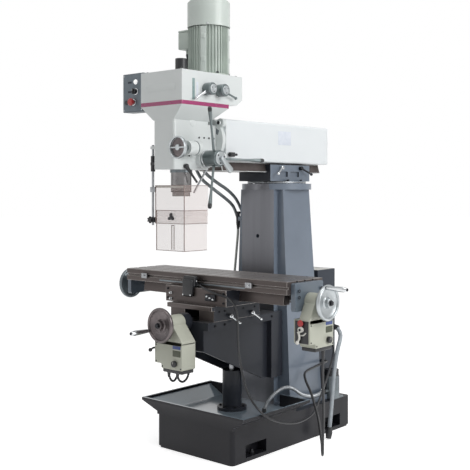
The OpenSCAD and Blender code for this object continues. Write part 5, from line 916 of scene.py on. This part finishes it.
def wheels():
    """Handwheels of the table, knee and lift, with their grips and dials."""
    x_at = np.array([674, -336.3, 885.4])
    # The left wheel's body takes the darker grey aluminium: painted shade
    part("table_handwheels", "table_screw", wheel_parts(RIGHT) + [(p, 1) for p in pin_parts(x_at, X)]
         + [(g, 2 if k == 0 else 1) for k, (g, _) in enumerate(wheel_parts(LEFT, hub_l=25.2))],
         [CAST_ALUMINIUM, DARK_STEEL, DARK_ALUMINIUM], "aluminium_cast", ["x_handwheels"])
    grip("table_grip", "x_grip", x_at, X, BRIGHT_STEEL, "bright_steel")
    y_at = np.array([-69.8, -708, 654.5])
    # The front wheel is warm brown aluminium: a painted reflection of the brown table
    part("cross_handwheel", "cross_screw", wheel_parts(FRONT) + [(p, 1) for p in pin_parts(y_at, -Y)],
         [ALUMINIUM_PAINTED_WARM_REFLECTION, DARK_STEEL], "aluminium_cast", ["y_handwheel"])
    grip("cross_grip", "y_grip", y_at, -Y, BRIGHT_STEEL, "bright_steel")
    spindle_dial("table_dial_right", "table_screw", (650.2, SCREW_Y, TABLE_SCREW_Z), X, 23.6)
    spindle_dial("cross_dial", "cross_screw", (0, -687.6, CROSS_SCREW_Z), -Y, 20)
    c_at = np.array([-186, -143.3, 573.5])
    casting("lift_crank", "knee_crank", "knee_crank", [STEEL, CAST_ALUMINIUM, BRIGHT_STEEL], 0.8,
            lambda mid, way: (mid[:, 0] < -184) & (np.hypot(mid[:, 1] - LIFT_Y, mid[:, 2] - LIFT_Z) > 15))
    grip("lift_grip", "crank_grip", c_at, -X, BLACK_PLASTIC, "black_plastic")
    hardware("lift_nut", "knee_crank", [nut((-220, LIFT_Y, LIFT_Z), -X, 12, 9)])


# A feed unit's outlines from the drum's middle, and its lever's stud: how far below the middle and behind the front
LEVER_Y = -124
LEVER_BACK = 47
UNIT = [(-42, -1), (42, -1), (107, -78), (107, -100), (-83, -100), (-83, -78)]
UNIT_BOX = [(107, -78), (107, -216), (-37, -216), (-37, -194), (-83, -194), (-83, -78)]


def feed_unit(name, body, place, drum, stands_for):
    """A power feed's case: round drum, sloping shoulders and a stepped box, with side panel, plates and foot."""
    def shape(outline, low, high, cut, ease):
        return slab(eased(outline, cut, 4, True), low, high, (0, 0, 0), X, Y, ease)

    stud = drum - LEVER_BACK
    forms = [(turned([(16, 0.2), (42, 0.2), (42, drum - 3), (39, drum), (16, drum)], (0, 0, 0), Z, 72, 0.8), 0),
             (shape(UNIT, 0.2, drum - 0.6, 9, 3), 0), (shape(UNIT_BOX, drum - 94, drum - 0.6, 7, 3), 0),
             (box((-31, -234, drum - 88), (101, -215, drum - 6), 4), 1),
             (rod(6, (-102, LEVER_Y, stud), (-82, LEVER_Y, stud)), 2)]
    # dark recessed panel round the lever, with its pale arc
    forms.append((box((-84.6, -190, drum - 86), (-82.4, -84, drum - 8), 0.9), 1))
    angle = np.radians(np.linspace(-62, 62, 25))
    edge = np.column_stack([np.cos(angle), np.sin(angle)])
    forms.append((slab(np.vstack([31 * edge, 25 * edge[::-1]]), 0, 0.9, (-84.4, LEVER_Y, stud), -Y, Z, 0.2), 3))
    # front face: two bare plates and the row of screws
    face = drum - 0.8
    for low, high, look in ((-114, -98, 4), (-150, -120, 5)):
        forms.append((box((44, low, face), (98, high, face + 1.2), 0.5), look))
    forms += [(bolt((x, y, face - 0.4), Z, 4, 1.8), 2)
              for x, y in ((-72, -104), (-72, -184), (98, -206), (-28, -206))]
    looks = [CREAM_PLASTIC, BLACK_PLASTIC, DARK_STEEL, PALE_PLASTIC, BLUE_PLATE, OLIVE_PLATE]
    part(name, body, laid(forms, place), looks, "unit_plastic", stands_for)


def unit_lever_parts(place, drum, angle):
    """The feed's lever: a ring on the stud, a bent flat arm and a small knob."""
    turn = math.radians(angle)
    up = np.array([0, math.cos(turn), math.sin(turn)])
    sideways = np.array([0, -math.sin(turn), math.cos(turn)])
    hub = np.array([-83, LEVER_Y, drum - LEVER_BACK], float)
    bend = smooth([hub - X * 9, hub - X * 10 + up * 18 + sideways * 5, hub - X * 12 + up * 40 - sideways * 5,
                   hub - X * 13 + up * 64], 8)
    arm = tube(bend, np.interp(np.linspace(0, 1, len(bend)), [0, 0.2, 0.8, 1], [6.5, 5.2, 4.6, 5]), 16)
    return [moved(form, *place) for form in (hoop(6.2, 13, 0.3, 16.3, hub, -X, 32, 1.2), arm, ball(9.5, bend[-1]))]


# Where each unit's drum begins, and how long it is
X_UNIT, X_DRUM = ((586, SCREW_Y, TABLE_SCREW_Z), Y, Z, X), 64
Y_UNIT, Y_DRUM = ((0, -595.3, CROSS_SCREW_Z), X, Z, -Y), 92


def feeds():
    """The table's and the knee's power feeds with their levers, knobs and the rapid button."""
    feed_unit("table_feed", "table", X_UNIT, X_DRUM, ["x_feed_unit"])
    feed_unit("knee_feed", "knee", Y_UNIT, Y_DRUM, ["y_feed_unit"])
    for name, body, place, drum, angle, look, slot in (
            ("table_feed_lever", "x_feed_lever", X_UNIT, X_DRUM, 195, PALE_PLASTIC, "pale_plastic"),
            ("knee_feed_lever", "y_feed_lever", Y_UNIT, Y_DRUM, 98, BLACK_PLASTIC, "black_plastic")):
        part(name, body, unit_lever_parts(place, drum, angle), [look], slot, [body])
    for name, body, place, drum in (("table_speed_knob", "x_speed_knob", X_UNIT, X_DRUM),
                                    ("knee_speed_knob", "y_speed_knob", Y_UNIT, Y_DRUM)):
        skirt = slab(lobed(15, 0.7, 12, 72), 0.3, 16.5, (62, -184, drum), X, Y, 2.5)
        mark = box((61.2, -184, drum + 16), (62.8, -171.5, drum + 17.6), 0.6)
        part(name, body, laid([(skirt, 0), (mark, 1)], place), [BLACK_PLASTIC, PALE_PLASTIC],
             "black_plastic", [body])
    cap = turned([(0, -8), (9, -8), (9, 7.5), (14, 8), (16, 11), (15.4, 14), (11, 16), (0, 16.6)],
                 (-83, -94, 17), -X, 40, 1.2)
    part("rapid_button", "x_rapid_button", [moved(cap, *X_UNIT)], [RED_PLASTIC], "red_plastic", ["x_rapid_button"])


# Turret, ram and head


def turret():
    """Turret block on its neck, with the angle scale, its bolts and the ram's lock levers."""
    # Faces that look to the right take the lighter blue-grey enamel and the rest the dark slate: painted light, the
    # right side lit and the others in shade
    casting("turret", "turret", "turret_block", [KNEE_ENAMEL, COLUMN_ENAMEL, BLUE_EDGE_WEAR_AND_HIGHLIGHT], 3.0,
            lambda mid, way: facing(way, 0, 1))
    part("swivel_scale", "turret", [hoop(160, 163.6, 1, 9, (0, SWIVEL_Y, 1377.4), Z, 180, 0.5)],
         [SWIVEL_SCALE], "steel")
    chrome("swivel_pointer", "frame", [box((-6, -34, 1374.5), (6, -16, 1378.5), 1.2)])
    hardware("swivel_screws", "turret",
             [bolt((x * 130, SWIVEL_Y + y * 58, 1398), Z, 6, 1.5) for x in (-1, 1) for y in (-1, 1)])
    for name, y, angle, look in (("ram_lock_front", 62, 118, BRIGHT_STEEL),
                                 ("ram_lock_rear", 232, -118, DARK_STEEL)):
        arm = lever((124, y, 1462), angle, 18, 74, 6, 4.8, 8.4)
        boss = turned([(0, 0.4), (11, 0.4), (11, 16), (9, 20), (0, 20.4)], (112, y, 1462), X, 32, 1)
        part(name + "_lever", name, arm + [boss], [look], "bright_steel", [name])


def ram():
    """Ram: a white box with its cover behind, a bare pale plate on its side and a clamp knob in front."""
    # below 1486.5 lies the dovetail, in bare iron
    casting("ram", "ram", "ram_casting", [RAM_ENAMEL, TABLE_SIDE, PAINTED_HIGHLIGHT_HEAD], 3.0,
            lambda mid, way: mid[:, 2] < 1486.5)
    casting("ram_cover", "ram", "ram_end_cover", [RAM_ENAMEL, PAINTED_HIGHLIGHT_HEAD], 2.0)
    part("ram_plate", "ram", [box((120.6, 30, 1585), (121.9, 140, 1660), 0.5)], [PALE_PLATE], "pale_plastic")
    # clamp knob in front of the ram, on its stud
    knob = slab(lobed(11.5, 1.2, 6, 60), 0, 34, (136, -345, 1520), X, Z, 2.0)
    part("ram_front_clamp", "ram", [(knob, 0), (rod(6, (119, -330, 1520), (142, -330, 1520)), 1)],
         [BLACK_PLASTIC, DARK_STEEL], "black_plastic")
    screws = [bolt((x, 486, z), Y, 6, 5.4) for x in (-105, 105) for z in (1503, 1684)]
    hardware("ram_cover_screws", "ram", screws)


def head():
    """Head casting with the guard's rod and its grip, flange bolts, side screws, boss, worm cap and tilt scale."""
    def metal(mid, way):
        rodlike = (mid[:, 0] < -108) & (np.abs(mid[:, 1] - ROD_Y) < 12)
        grip = rodlike & (mid[:, 2] > 1433) & (mid[:, 2] < 1510)
        lever_like = (mid[:, 2] < 1440.5) & (mid[:, 1] > -545) & (mid[:, 0] > 30)
        seal = (mid[:, 2] < 1440.5) & ~lever_like & (np.abs(mid[:, 0]) < 60)
        return np.select([grip, rodlike, lever_like, seal], [1, 2, 2, 3], 0)

    casting("head", "head", "head_casting", [HEAD_ENAMEL, BLACK_PLASTIC, STEEL, DARK_ALUMINIUM, PAINTED_HIGHLIGHT_HEAD],
            3.0, metal)
    screws = [bolt((73.8, -534 + k * 35, 1600), X, 5, 0.8) for k in range(5)]
    screws += [bolt((x * 100, -423.4, FLANGE_Z + z * 86), -Y, 9.4, 1.2) for x in (-1, 1) for z in (-1, 1)]
    screws += [hoop(0, 11, 0, 1, (x * 100, -410.2, FLANGE_Z + z * 86), -Y, 24, 0.3)
               for x in (-1, 1) for z in (-1, 1)]
    screws += [bolt((72, -607 + k * 4, 1519 - k * 11), X, 4.2, 2.5) for k in range(2)]
    hardware("head_screws", "head", screws)
    part("head_boss", "head", [turned([(0, 0), (22, 0), (20, 3), (12, 4.5), (0, 5)], (70, -578, 1672), X, 40, 1.5)],
         [HEAD_ENAMEL], "head_paint")
    caps = [turned([(34.2, 0), (35.4, 1), (35.4, 5), (34.2, 6)], (FINE_X, -600, FINE_Z), -Y, 48, 0.5),
            turned([(0, 0), (30, 0), (28, 2.5), (0, 3)], (FINE_X, -576.4, FINE_Z), Y, 40, 1)]
    part("worm_cap", "head", caps, [ARM_STEEL], "steel")
    part("tilt_scale", "head", [slab(eased([(60, 1632), (84, 1618), (94, 1640), (70, 1655)], 3, 3, True), 0, 0.8,
                                     (0, -410.4, 0), X, Z, 0.2)], [DARK_ALUMINIUM], "steel")


def housing():
    """Gear housing: white enamel, the crimson band, spindle cap, bare plates and screws."""
    casting("gear_case", "head", "gear_housing", [HEAD_ENAMEL, BLACK_PLASTIC, PAINTED_HIGHLIGHT_HEAD], 4.0,
            lambda mid, way: (mid[:, 2] > 1916.5) & (np.hypot(mid[:, 0], mid[:, 1] - SPINDLE_Y) < 40))
    # the band: a thin strip round the front and both sides, carried along the case's outline
    corners = np.array([(143, -394), (143, -723), (-143, -723), (-143, -394)], float)
    out = eased(corners, 4, 5)
    tangent = unit(np.gradient(out, axis=0))
    normal = np.column_stack([-tangent[:, 1], tangent[:, 0]])
    normal *= np.sign(np.sum(normal * (out - [0, -500]), axis=1, keepdims=True))
    section = np.array([(0.9, 1749.2), (1.3, 1750), (1.3, 1767.4), (0.9, 1768.2), (-1, 1768.2), (-1, 1749.2)])
    grid = np.concatenate([out[:, None, :] + normal[:, None, :] * section[None, :, :1],
                           np.broadcast_to(section[None, :, 1:], (len(out), 6, 1))], -1)
    part("case_band", "head", [grid], [BAND_RED], "red_plastic")
    screws = [bolt((s * 119, y, 1916), Z, 7, 5.4) for s in (-1, 1) for y in (-699, -315)]
    hardware("case_screws", "head", screws)
    cap = turned([(0, 75.6), (26, 75.6), (29.4, 72), (29.4, 3), (31, 2), (31, 0)], (0, SPINDLE_Y, 1916), Z, 56, 1.5)
    moulding("spindle_cap", "head", [cap])
    plates = [(box((142.6, -653, 1776), (144, -636, 1878), 0.5), 0),
              (box((142.6, -625, 1786), (144, -612, 1862), 0.5), 1)]
    part("case_plates", "head", plates, [GREEN_PLATE, PALE_PLATE], "panel_paint")
    part("front_plate", "head", [box((-100, -724.2, 1820), (96, -722.8, 1852), 0.5)], [HEAD_ENAMEL], "head_paint")


def speed_levers():
    """Two range levers: a grey hub with a pale face and three screws, and a taper arm with a ball."""
    for name, y, angle, look in (("speed_lever_front", -555, 119, BRIGHT_STEEL),
                                 ("speed_lever_rear", -465, -107, ARM_STEEL)):
        hub = turned([(0, 0.4), (30, 0.4), (31, 2), (31, 43), (28.5, 46), (0, 46)], (143, y, SPEED_Z), X, 56, 1)
        face = turned([(0, 45), (22, 45), (22, 50), (20.5, 51), (7, 51), (6, 49.6), (0, 49.6)],
                      (143, y, SPEED_Z), X, 48, 0.8)
        stub = rod(8, (129.5, y, SPEED_Z), (144, y, SPEED_Z), 0.6)
        arm = lever((166, y, SPEED_Z), angle, 0, 104, 8, 5, 8)
        screws = [bolt(at, X, 3, 1) for at in circle((193.6, y, SPEED_Z), 14, (0.6, 2.7, 4.8), Y, Z)]
        part(name + "_set", name, [(hub, 0), (face, 1), (stub, 2)] + [(a, 3) for a in arm]
             + [(s, 2) for s in screws], [ARM_STEEL, CAST_ALUMINIUM, DARK_STEEL, look], "aluminium_cast", [name])


def panel():
    """Control panel: a folded case with a face plate, lamp, selector, key switch, two plates and mushroom stop."""
    stop_at, dial_at = (-235, -690, 1783), (-217, -690, 1836)
    case = [(box((-315, -690, 1734), (-164, -618, 1928), 3.5), 0),
            (box((-311, -690.9, 1738), (-168, -689, 1924), 1.2), 1),
            (box((-165, -666, 1790), (-142.6, -624, 1850), 2), 0)]
    lamp = turned([(0, 9.4), (8, 9), (10.4, 6.5), (10.8, 3), (13, 2.4), (13, 0.5), (0, 0.5)][::-1],
                  (-217, -690.4, 1884), -Y, 40, 0.8)
    rings = [(turned([(8.3, 0), (17, 0), (17, 2.6), (14, 4), (8.3, 4)], at, -Y, 48, 0.8), 3)
             for at in (stop_at, dial_at)]
    key = turned([(0, 0), (12, 0), (12, 5), (9.5, 8), (0, 8.6)], (-285, -690, 1783), -Y, 36, 0.8)
    screws = [(bolt((x, -690.7, z), -Y, 3.4, 1.4), 3) for x in (-305, -174) for z in (1744, 1918)]
    plates = [(box((x - 14, -691.5, z - 5), (x + 14, -690.6, z + 5), 0.4), 2)
              for x, z in ((-262, 1884), (-262, 1836))]
    part("control_case", "head", case + [(lamp, 5), (key, 4)] + rings + screws + plates,
         [PANEL_PAINT, PANEL_FACE, CABINET_ENAMEL, BRIGHT_STEEL, BLACK_PLASTIC, LAMP_WHITE], "panel_paint",
         ["control_panel"])
    stop = turned([(0, -34), (7.9, -34), (7.9, 10.4), (14, 11), (18.4, 15), (19, 20), (18, 24.5), (13, 27.6),
                   (0, 28.4)], stop_at, -Y, 48, 1.5)
    part("stop_mushroom", "stop_button", [stop], [RED_PLASTIC], "red_plastic", ["stop_button"])
    knob = turned([(0, -34), (7.9, -34), (7.9, 4.4), (13, 4.6), (14, 7), (13, 19), (0, 20.4)], dial_at, -Y, 40, 1)
    wing = box((-220, -716, 1822.5), (-214, -708, 1849.5), 2)
    part("selector", "selector_knob",
         [(knob, 0), (wing, 0), (box((-217.8, -716.5, 1838), (-216.2, -715, 1848), 0.4), 1)],
         [BLACK_PLASTIC, PALE_PLASTIC], "black_plastic", ["selector_knob"])


def motor():
    """Motor: a ribbed case, pads with tapped bosses, terminal box and a sheet cowl."""
    turn = np.linspace(0, 2 * np.pi, 480, endpoint=False)
    # a fin every nine degrees: the radius rises by 8.6 wherever the turn is within 1.35 degrees of a fin's middle
    off = np.abs((np.degrees(turn) + 4.5) % 9 - 4.5)
    rise = 8.6 * np.clip((1.35 - off) / 0.45, 0, 1)
    level = np.array([1930.5, 1931.5, 1990, 2050, 2110, 2167.5, 2168.5])
    radius = 97 + rise * np.array([0, 1, 1, 1, 1, 1, 0])[:, None]
    ribs = np.stack([radius * np.cos(turn), radius * np.sin(turn) + MOTOR_Y,
                     np.broadcast_to(level[:, None], radius.shape)], -1)
    case = turned([(0, 1916.3), (104, 1916.3), (106, 1918), (106, 1928), (103, 1930.3), (97.3, 1930.6),
                   (97.3, 2183), (0, 2183)], (0, MOTOR_Y, 0), Z, 96, 0.8)
    parts = [ribs, case, box((-168, -443, 2070), (-84, -333, 2157.6), 5),
             box((-168, -443, 2158.2), (-84, -333, 2168), 3), hoop(0, 11, 0, 22, (-137, -399, 2048), Z, 32, 1)]
    parts += [bolt((x, y, 2167.6), Z, 3.5, 1.2) for x in (-161, -115) for y in (-436, -340)]
    part("motor_case", "head", parts, [MOTOR_PAINT], "motor_paint", ["motor_housing"])
    pads = []
    for angle in (-62, 28, 118):
        a = math.radians(angle)
        way = np.array([math.cos(a), math.sin(a), 0])
        across = np.cross(Z, way)
        origin = np.array([0, MOTOR_Y, 0]) + way * 96
        pads.append(slab(eased([(-15, 1934), (15, 1934), (15, 2164), (-15, 2164)], 3, 4, True), 0, 10.2, origin,
                         across, Z, 1.5))
        for z in (2000, 2116):
            pads.append(slab(eased([(-11, z - 13), (11, z - 13), (11, z + 13), (-11, z + 13)], 5, 5, True), 0, 13.6,
                             origin, across, Z, 2))
            pads.append(turned([(0, 0.8), (2.5, 0.8), (2.5, 1.6), (4.5, 1.6), (4.5, 0), (0, 0)],
                               origin + way * 12.4 + Z * z, way, 20))
    # The pads take the lighter cowl paint: a painted highlight on their flat faces
    part("motor_pads", "head", pads, [COWL_PAINT], "motor_paint")
    feet = [bolt(at, Z, 8, 7) for at in circle((0, MOTOR_Y, 1930), 100, np.radians([-75, -20, 45, 100, 160, 250]))]
    hardware("motor_foot_screws", "head", feet)
    casting("motor_cowl_sheet", "head", "motor_cowl", [COWL_PAINT, MOTOR_PAINT], 2.5)
    middle = np.array([0, MOTOR_Y, 2178])
    screws = [bolt(at, at - middle, 4, 2) for at in circle(middle, 108.6, np.radians([-50, 40, 130, 220]))]
    chrome("cowl_screws", "head", screws)


# Quill, feeds and guard


def quill():
    """Quill and spindle: ground and polished, with the lock lever beside."""
    casting("quill_sleeve", "quill", "quill", [QUILL_STEEL, STEEL], 1.0)
    casting("spindle_nose", "spindle", "spindle", [QUILL_STEEL, BRIGHT_STEEL], 1.0)
    ring = turned([(44.5, 0), (50.6, 0), (51.2, 1.5), (51.2, 5), (44.5, 5.4)], (0, SPINDLE_Y, 1331), Z, 64, 0.6)
    hardware("quill_ring", "quill", [ring])
    at = (82, -632, 1457)
    arm = lever(at, 219, 6, 98, 9, 5.6, 6)
    boss = turned([(0, 0.4), (11, 0.4), (11.4, 3), (11.4, 17), (9, 20), (0, 20.4)], (72, -632, 1457), X, 36, 1)
    root = ball(12, at)
    moulding("quill_lock", "quill_lock_lever", arm + [boss, root], ["quill_lock_lever"])


def fine_wheel():
    """Fine feed wheel at the end of the worm's shaft: a bright dished rim, a floor in warm brown as painted shade
    and reflection, and a bar across it.
    """
    x, z = FINE_X, FINE_Z
    centre = (x, -706.3, z)
    rim = turned([(0, 0.4), (52, 0.4), (54, 2), (54, 16), (52.5, 20), (48.5, 20), (46.6, 17), (46, 8), (0, 7)],
                 centre, -Y, 80, 1)
    # The floor takes the warm brown aluminium: painted shade and reflection in the recess
    floor = hoop(0, 45.4, 6.4, 8.2, centre, -Y, 64, 0.4)
    bar = box((x - 47, -723.3, z - 4), (x + 47, -713.3, z + 4), 2.4)
    hub = turned([(0, 7), (15, 7), (15, 16), (12, 19), (0, 19.6)], centre, -Y, 36, 1)
    shaft = [rod(17, centre, (x, -660.4, z)), rod(7, (x, -661, z), (x, -604, z))]
    part("fine_feed", "fine_feed_wheel", [(rim, 0), (floor, 1), (bar, 0), (hub, 0)] + [(s, 2) for s in shaft],
         [CAST_ALUMINIUM, ALUMINIUM_PAINTED_WARM_REFLECTION, ARM_STEEL], "aluminium_cast", ["fine_feed_wheel"])


def feed_handle():
    """Capstan: drum, screwed end disc, three taper arms with dark ends, and the flat lever."""
    centre = FEED_HUB
    drum = turned([(0, 95.4), (40, 95.4), (41.3, 97), (41.3, 186), (39.5, 188.4), (0, 188.4)], centre, X, 72, 1)
    disc = turned([(0, 187), (34.2, 187), (34.2, 194), (32.5, 196.4), (0, 196.4)], centre, X, 64, 1)
    ring = turned([(41.2, 100), (42, 101), (42, 108), (41.2, 109)], centre, X, 72, 0.5)
    step = np.repeat(np.arange(20), 4) * 18 + np.tile([-4.7, -1.6, 1.6, 4.7], 20) - 90
    tall = np.tile([26.25, 32.4, 32.4, 26.25], 20)
    teeth = np.column_stack([tall * np.cos(np.radians(step)), tall * np.sin(np.radians(step))])
    parts = [(drum, 0), (disc, 1), (ring, 2), (rod(9, centre - X * 48, centre + X * 96), 2),
             (slab(teeth, -16, 16, centre, Y, Z, 0.6), 0)]
    for turn in (-1, 118, 242):
        a, lean = math.radians(turn), math.radians(18)
        way = np.array([math.sin(lean), math.cos(a) * math.cos(lean), math.sin(a) * math.cos(lean)])
        root = centre + X * 152 + way * 13.5
        rows = [(0, 20), (7, 20), (6.4, 60), (5.4, 150), (6.4, 190), (9.2, 232), (9.9, 252), (0, 254)]
        parts.append((turned(rows, root, way, 32, 4), 0))
        parts.append((turned([(0, 250), (10.2, 250), (10.4, 262), (8, 271.4), (0, 272)], root, way, 32, 2), 3))
    a = math.radians(-43)
    along = np.array([0, math.cos(a), math.sin(a)])
    across = np.cross(along, X)
    flat = slab(eased([(-9, -9), (9, -9), (16, 84), (12, 92), (-12, 92), (-16, 84)], 5, 4, True), 0.5, 14.4,
                centre + X * 196, across, along, 2)
    parts.append((flat, 1))
    parts += [(bolt(at, X, 4, 2.6), 3) for at in circle(centre + X * 196, 24, np.radians([20, 140, 260]), Y, Z)]
    part("feed_capstan", "feed_handle", parts, [ARM_STEEL, CAST_ALUMINIUM, BRIGHT_STEEL, BLACK_PLASTIC],
         "aluminium_cast", ["feed_handle"])


def star(r, at, axis, high, lobes=6, depth=0.16):
    """A knob as high as that, with lobes whose depth is that share of its radius."""
    side, up, axis = basis(axis)
    return slab(lobed(r * (1 - depth), r * depth, lobes, 90), 0, high, at, side, up, 2.5)


def screen(x, y, low, high, rims, lefts, wide):
    """A clear sheet in front and one at the right, and the sawn edges of both: two rims and two uprights."""
    sheets = [box((-106, y, low), (x, y + 4, high), 1.2), box((x - 4, y + 3.6, low), (x, -496, high), 1.2)]
    edges = [box((lefts[0], y - 0.4, z), (x + 0.3, y + wide, z + 3), 0.8) for z in rims]
    edges += [box((x - wide, y + 3.4, z), (x + 0.3, -495.8, z + 3), 0.8) for z in rims]
    edges += [box((x - 3.4, y - 0.4, low + 1), (x + 0.3, y + 3.6, high - 1), 0.9),
              box((lefts[1], y - 0.3, low + 1), (-102.6, y + 4.2, high - 1), 0.9)]
    return [(form, 0) for form in sheets] + [(form, 1) for form in edges]


def guard():
    """Clear chuck guard: an upper screen on the rod's collars, and a lower one that slides in its pale rail."""
    upper = screen(98, -662, 1175, 1364, (1175, 1361.2), (-106.3, -106.2), 4.2)
    for z, look in ((1180, 2), (1330, 4)):
        upper += [(hoop(6.3, 14, 0, 26, (ROD_X, ROD_Y, z), Z, 36, 1.5), look),
                  (box((-117, -666.4, z), (-104, -658.4, z + 26), 1.5), look)]
    upper += [(box((-106, -658.4, 1352), (93.5, -656.9, 1364), 0.5), 3), (star(17, (ROD_X, -673, 1193), -Y, 13), 2)]
    part("guard_upper_screen", "guard_shield", upper,
         [CLEAR_SHEET, CLEAR_EDGE, BLACK_PLASTIC, PALE_PLASTIC, STEEL], "clear_plastic", ["guard_shield"])
    lower = screen(92, -656, 1042, 1242, (1042, 1239), (-106, -106), 4.3)
    # the slot's edges in the lower sheet
    for low, high in (((4, 1050), (9, 1168)), ((20, 1050), (25, 1168)), ((4, 1166), (25, 1170))):
        lower.append((box((low[0], -657.6, low[1]), (high[0], -655.8, high[1]), 0.7), 1))
    part("guard_lower_screen", "guard_extension", lower, [CLEAR_SHEET, CLEAR_EDGE], "clear_plastic",
         ["guard_extension"])
    knob = [star(21, (14, -663.8, 1208), -Y, 11, 3, 0.3), rod(4, (14, -664, 1208), (14, -655, 1208))]
    moulding("guard_slide_knob", "guard_extension", knob)


def inside():
    """The solids that the castings hide: each gets the finish of what it is."""
    looks = {"elevating_screw": STEEL, "y_screw": STEEL, "feed_nuts": BRONZE, "x_screw": STEEL,
             "motor_rotor": WINDING, "layshaft": STEEL, "spindle_sleeve": STEEL}
    for name, look in looks.items():
        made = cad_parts[name].data
        for k in range(len(made.materials)):
            made.materials[k] = look
        if not made.materials:
            made.materials.append(look)


for build in (base, column, pump, cabinet, knee, saddle, switch, saddle_locks, table, wheels, feeds, turret, ram,
              head, housing, speed_levers, panel, motor, quill, fine_wheel, feed_handle, guard, inside):
    build()

# Studio


def studio():
    """White floor and world, a large soft light at the right, and weaker ones at the front left and on top."""
    floor = grid_mesh("studio_floor", [hoop(0, 40000, -20, 0, (0, 0, 0), Z, 64)], [])
    look, tree, shader = blank("matt_white_floor")
    shader.inputs["Roughness"].default_value = 0.9
    shade = add(tree, "TexCoord").outputs["Object"]
    tone = between(tree, grain(tree, shade, 900.0), 0.3, 0.7)
    tree.links.new(blended(tree, tone, linear("#f6f6f6"), linear("#f4f4f4")), shader.inputs["Base Color"])
    rays = add(tree, "LightPath")
    seen = worked(tree, "MAXIMUM", rays.outputs["Is Camera Ray"], rays.outputs["Is Glossy Ray"])
    shader.inputs["Emission Color"].default_value = (1, 1, 1, 1)
    tree.links.new(worked(tree, "MULTIPLY", seen, 0.68), shader.inputs["Emission Strength"])
    floor.materials.append(look)
    ground = bpy.data.objects.new("studio_floor", floor)
    bpy.context.scene.collection.objects.link(ground)

    world = bpy.data.worlds.new("studio")
    world.use_nodes = True
    bpy.context.scene.world = world
    tree = world.node_tree
    back = tree.nodes["Background"]
    rays = add(tree, "LightPath")
    seen = worked(tree, "MAXIMUM", rays.outputs["Is Camera Ray"], rays.outputs["Is Transmission Ray"])
    most = worked(tree, "MAXIMUM", seen, worked(tree, "MULTIPLY", rays.outputs["Is Glossy Ray"], 0.55))
    tree.links.new(between(tree, most, 0.0, 1.0, 0.36, 1.0), back.inputs["Strength"])
    back.inputs["Color"].default_value = (1, 1, 1, 1)

    # each lamp's place and aim and size in metres, and its power in watts
    lamps = (("key", (4.2, 0.2, 3.0), (0, -0.2, 1.2), 2.6, 112),
             ("fill", (-2.6, -4.0, 2.4), (0, -0.3, 1.1), 3.0, 12),
             ("top", (0.3, -0.6, 4.6), (0, -0.2, 1.0), 2.4, 50))
    for name, place, aim, size, power in lamps:
        lamp = bpy.data.lights.new(name, "AREA")
        lamp.shape = "SQUARE"
        lamp.size = size
        lamp.energy = power
        stand = bpy.data.objects.new(name, lamp)
        stand.location = place
        way = np.asarray(aim) - np.asarray(place)
        tip, spin = math.acos(-way[2] / np.linalg.norm(way)), math.atan2(way[1], way[0]) - math.pi / 2
        stand.rotation_euler = (tip, 0, spin)
        bpy.context.scene.collection.objects.link(stand)
    bpy.context.scene.view_settings.view_transform = "Standard"


studio()

bpy.context.view_layer.update()
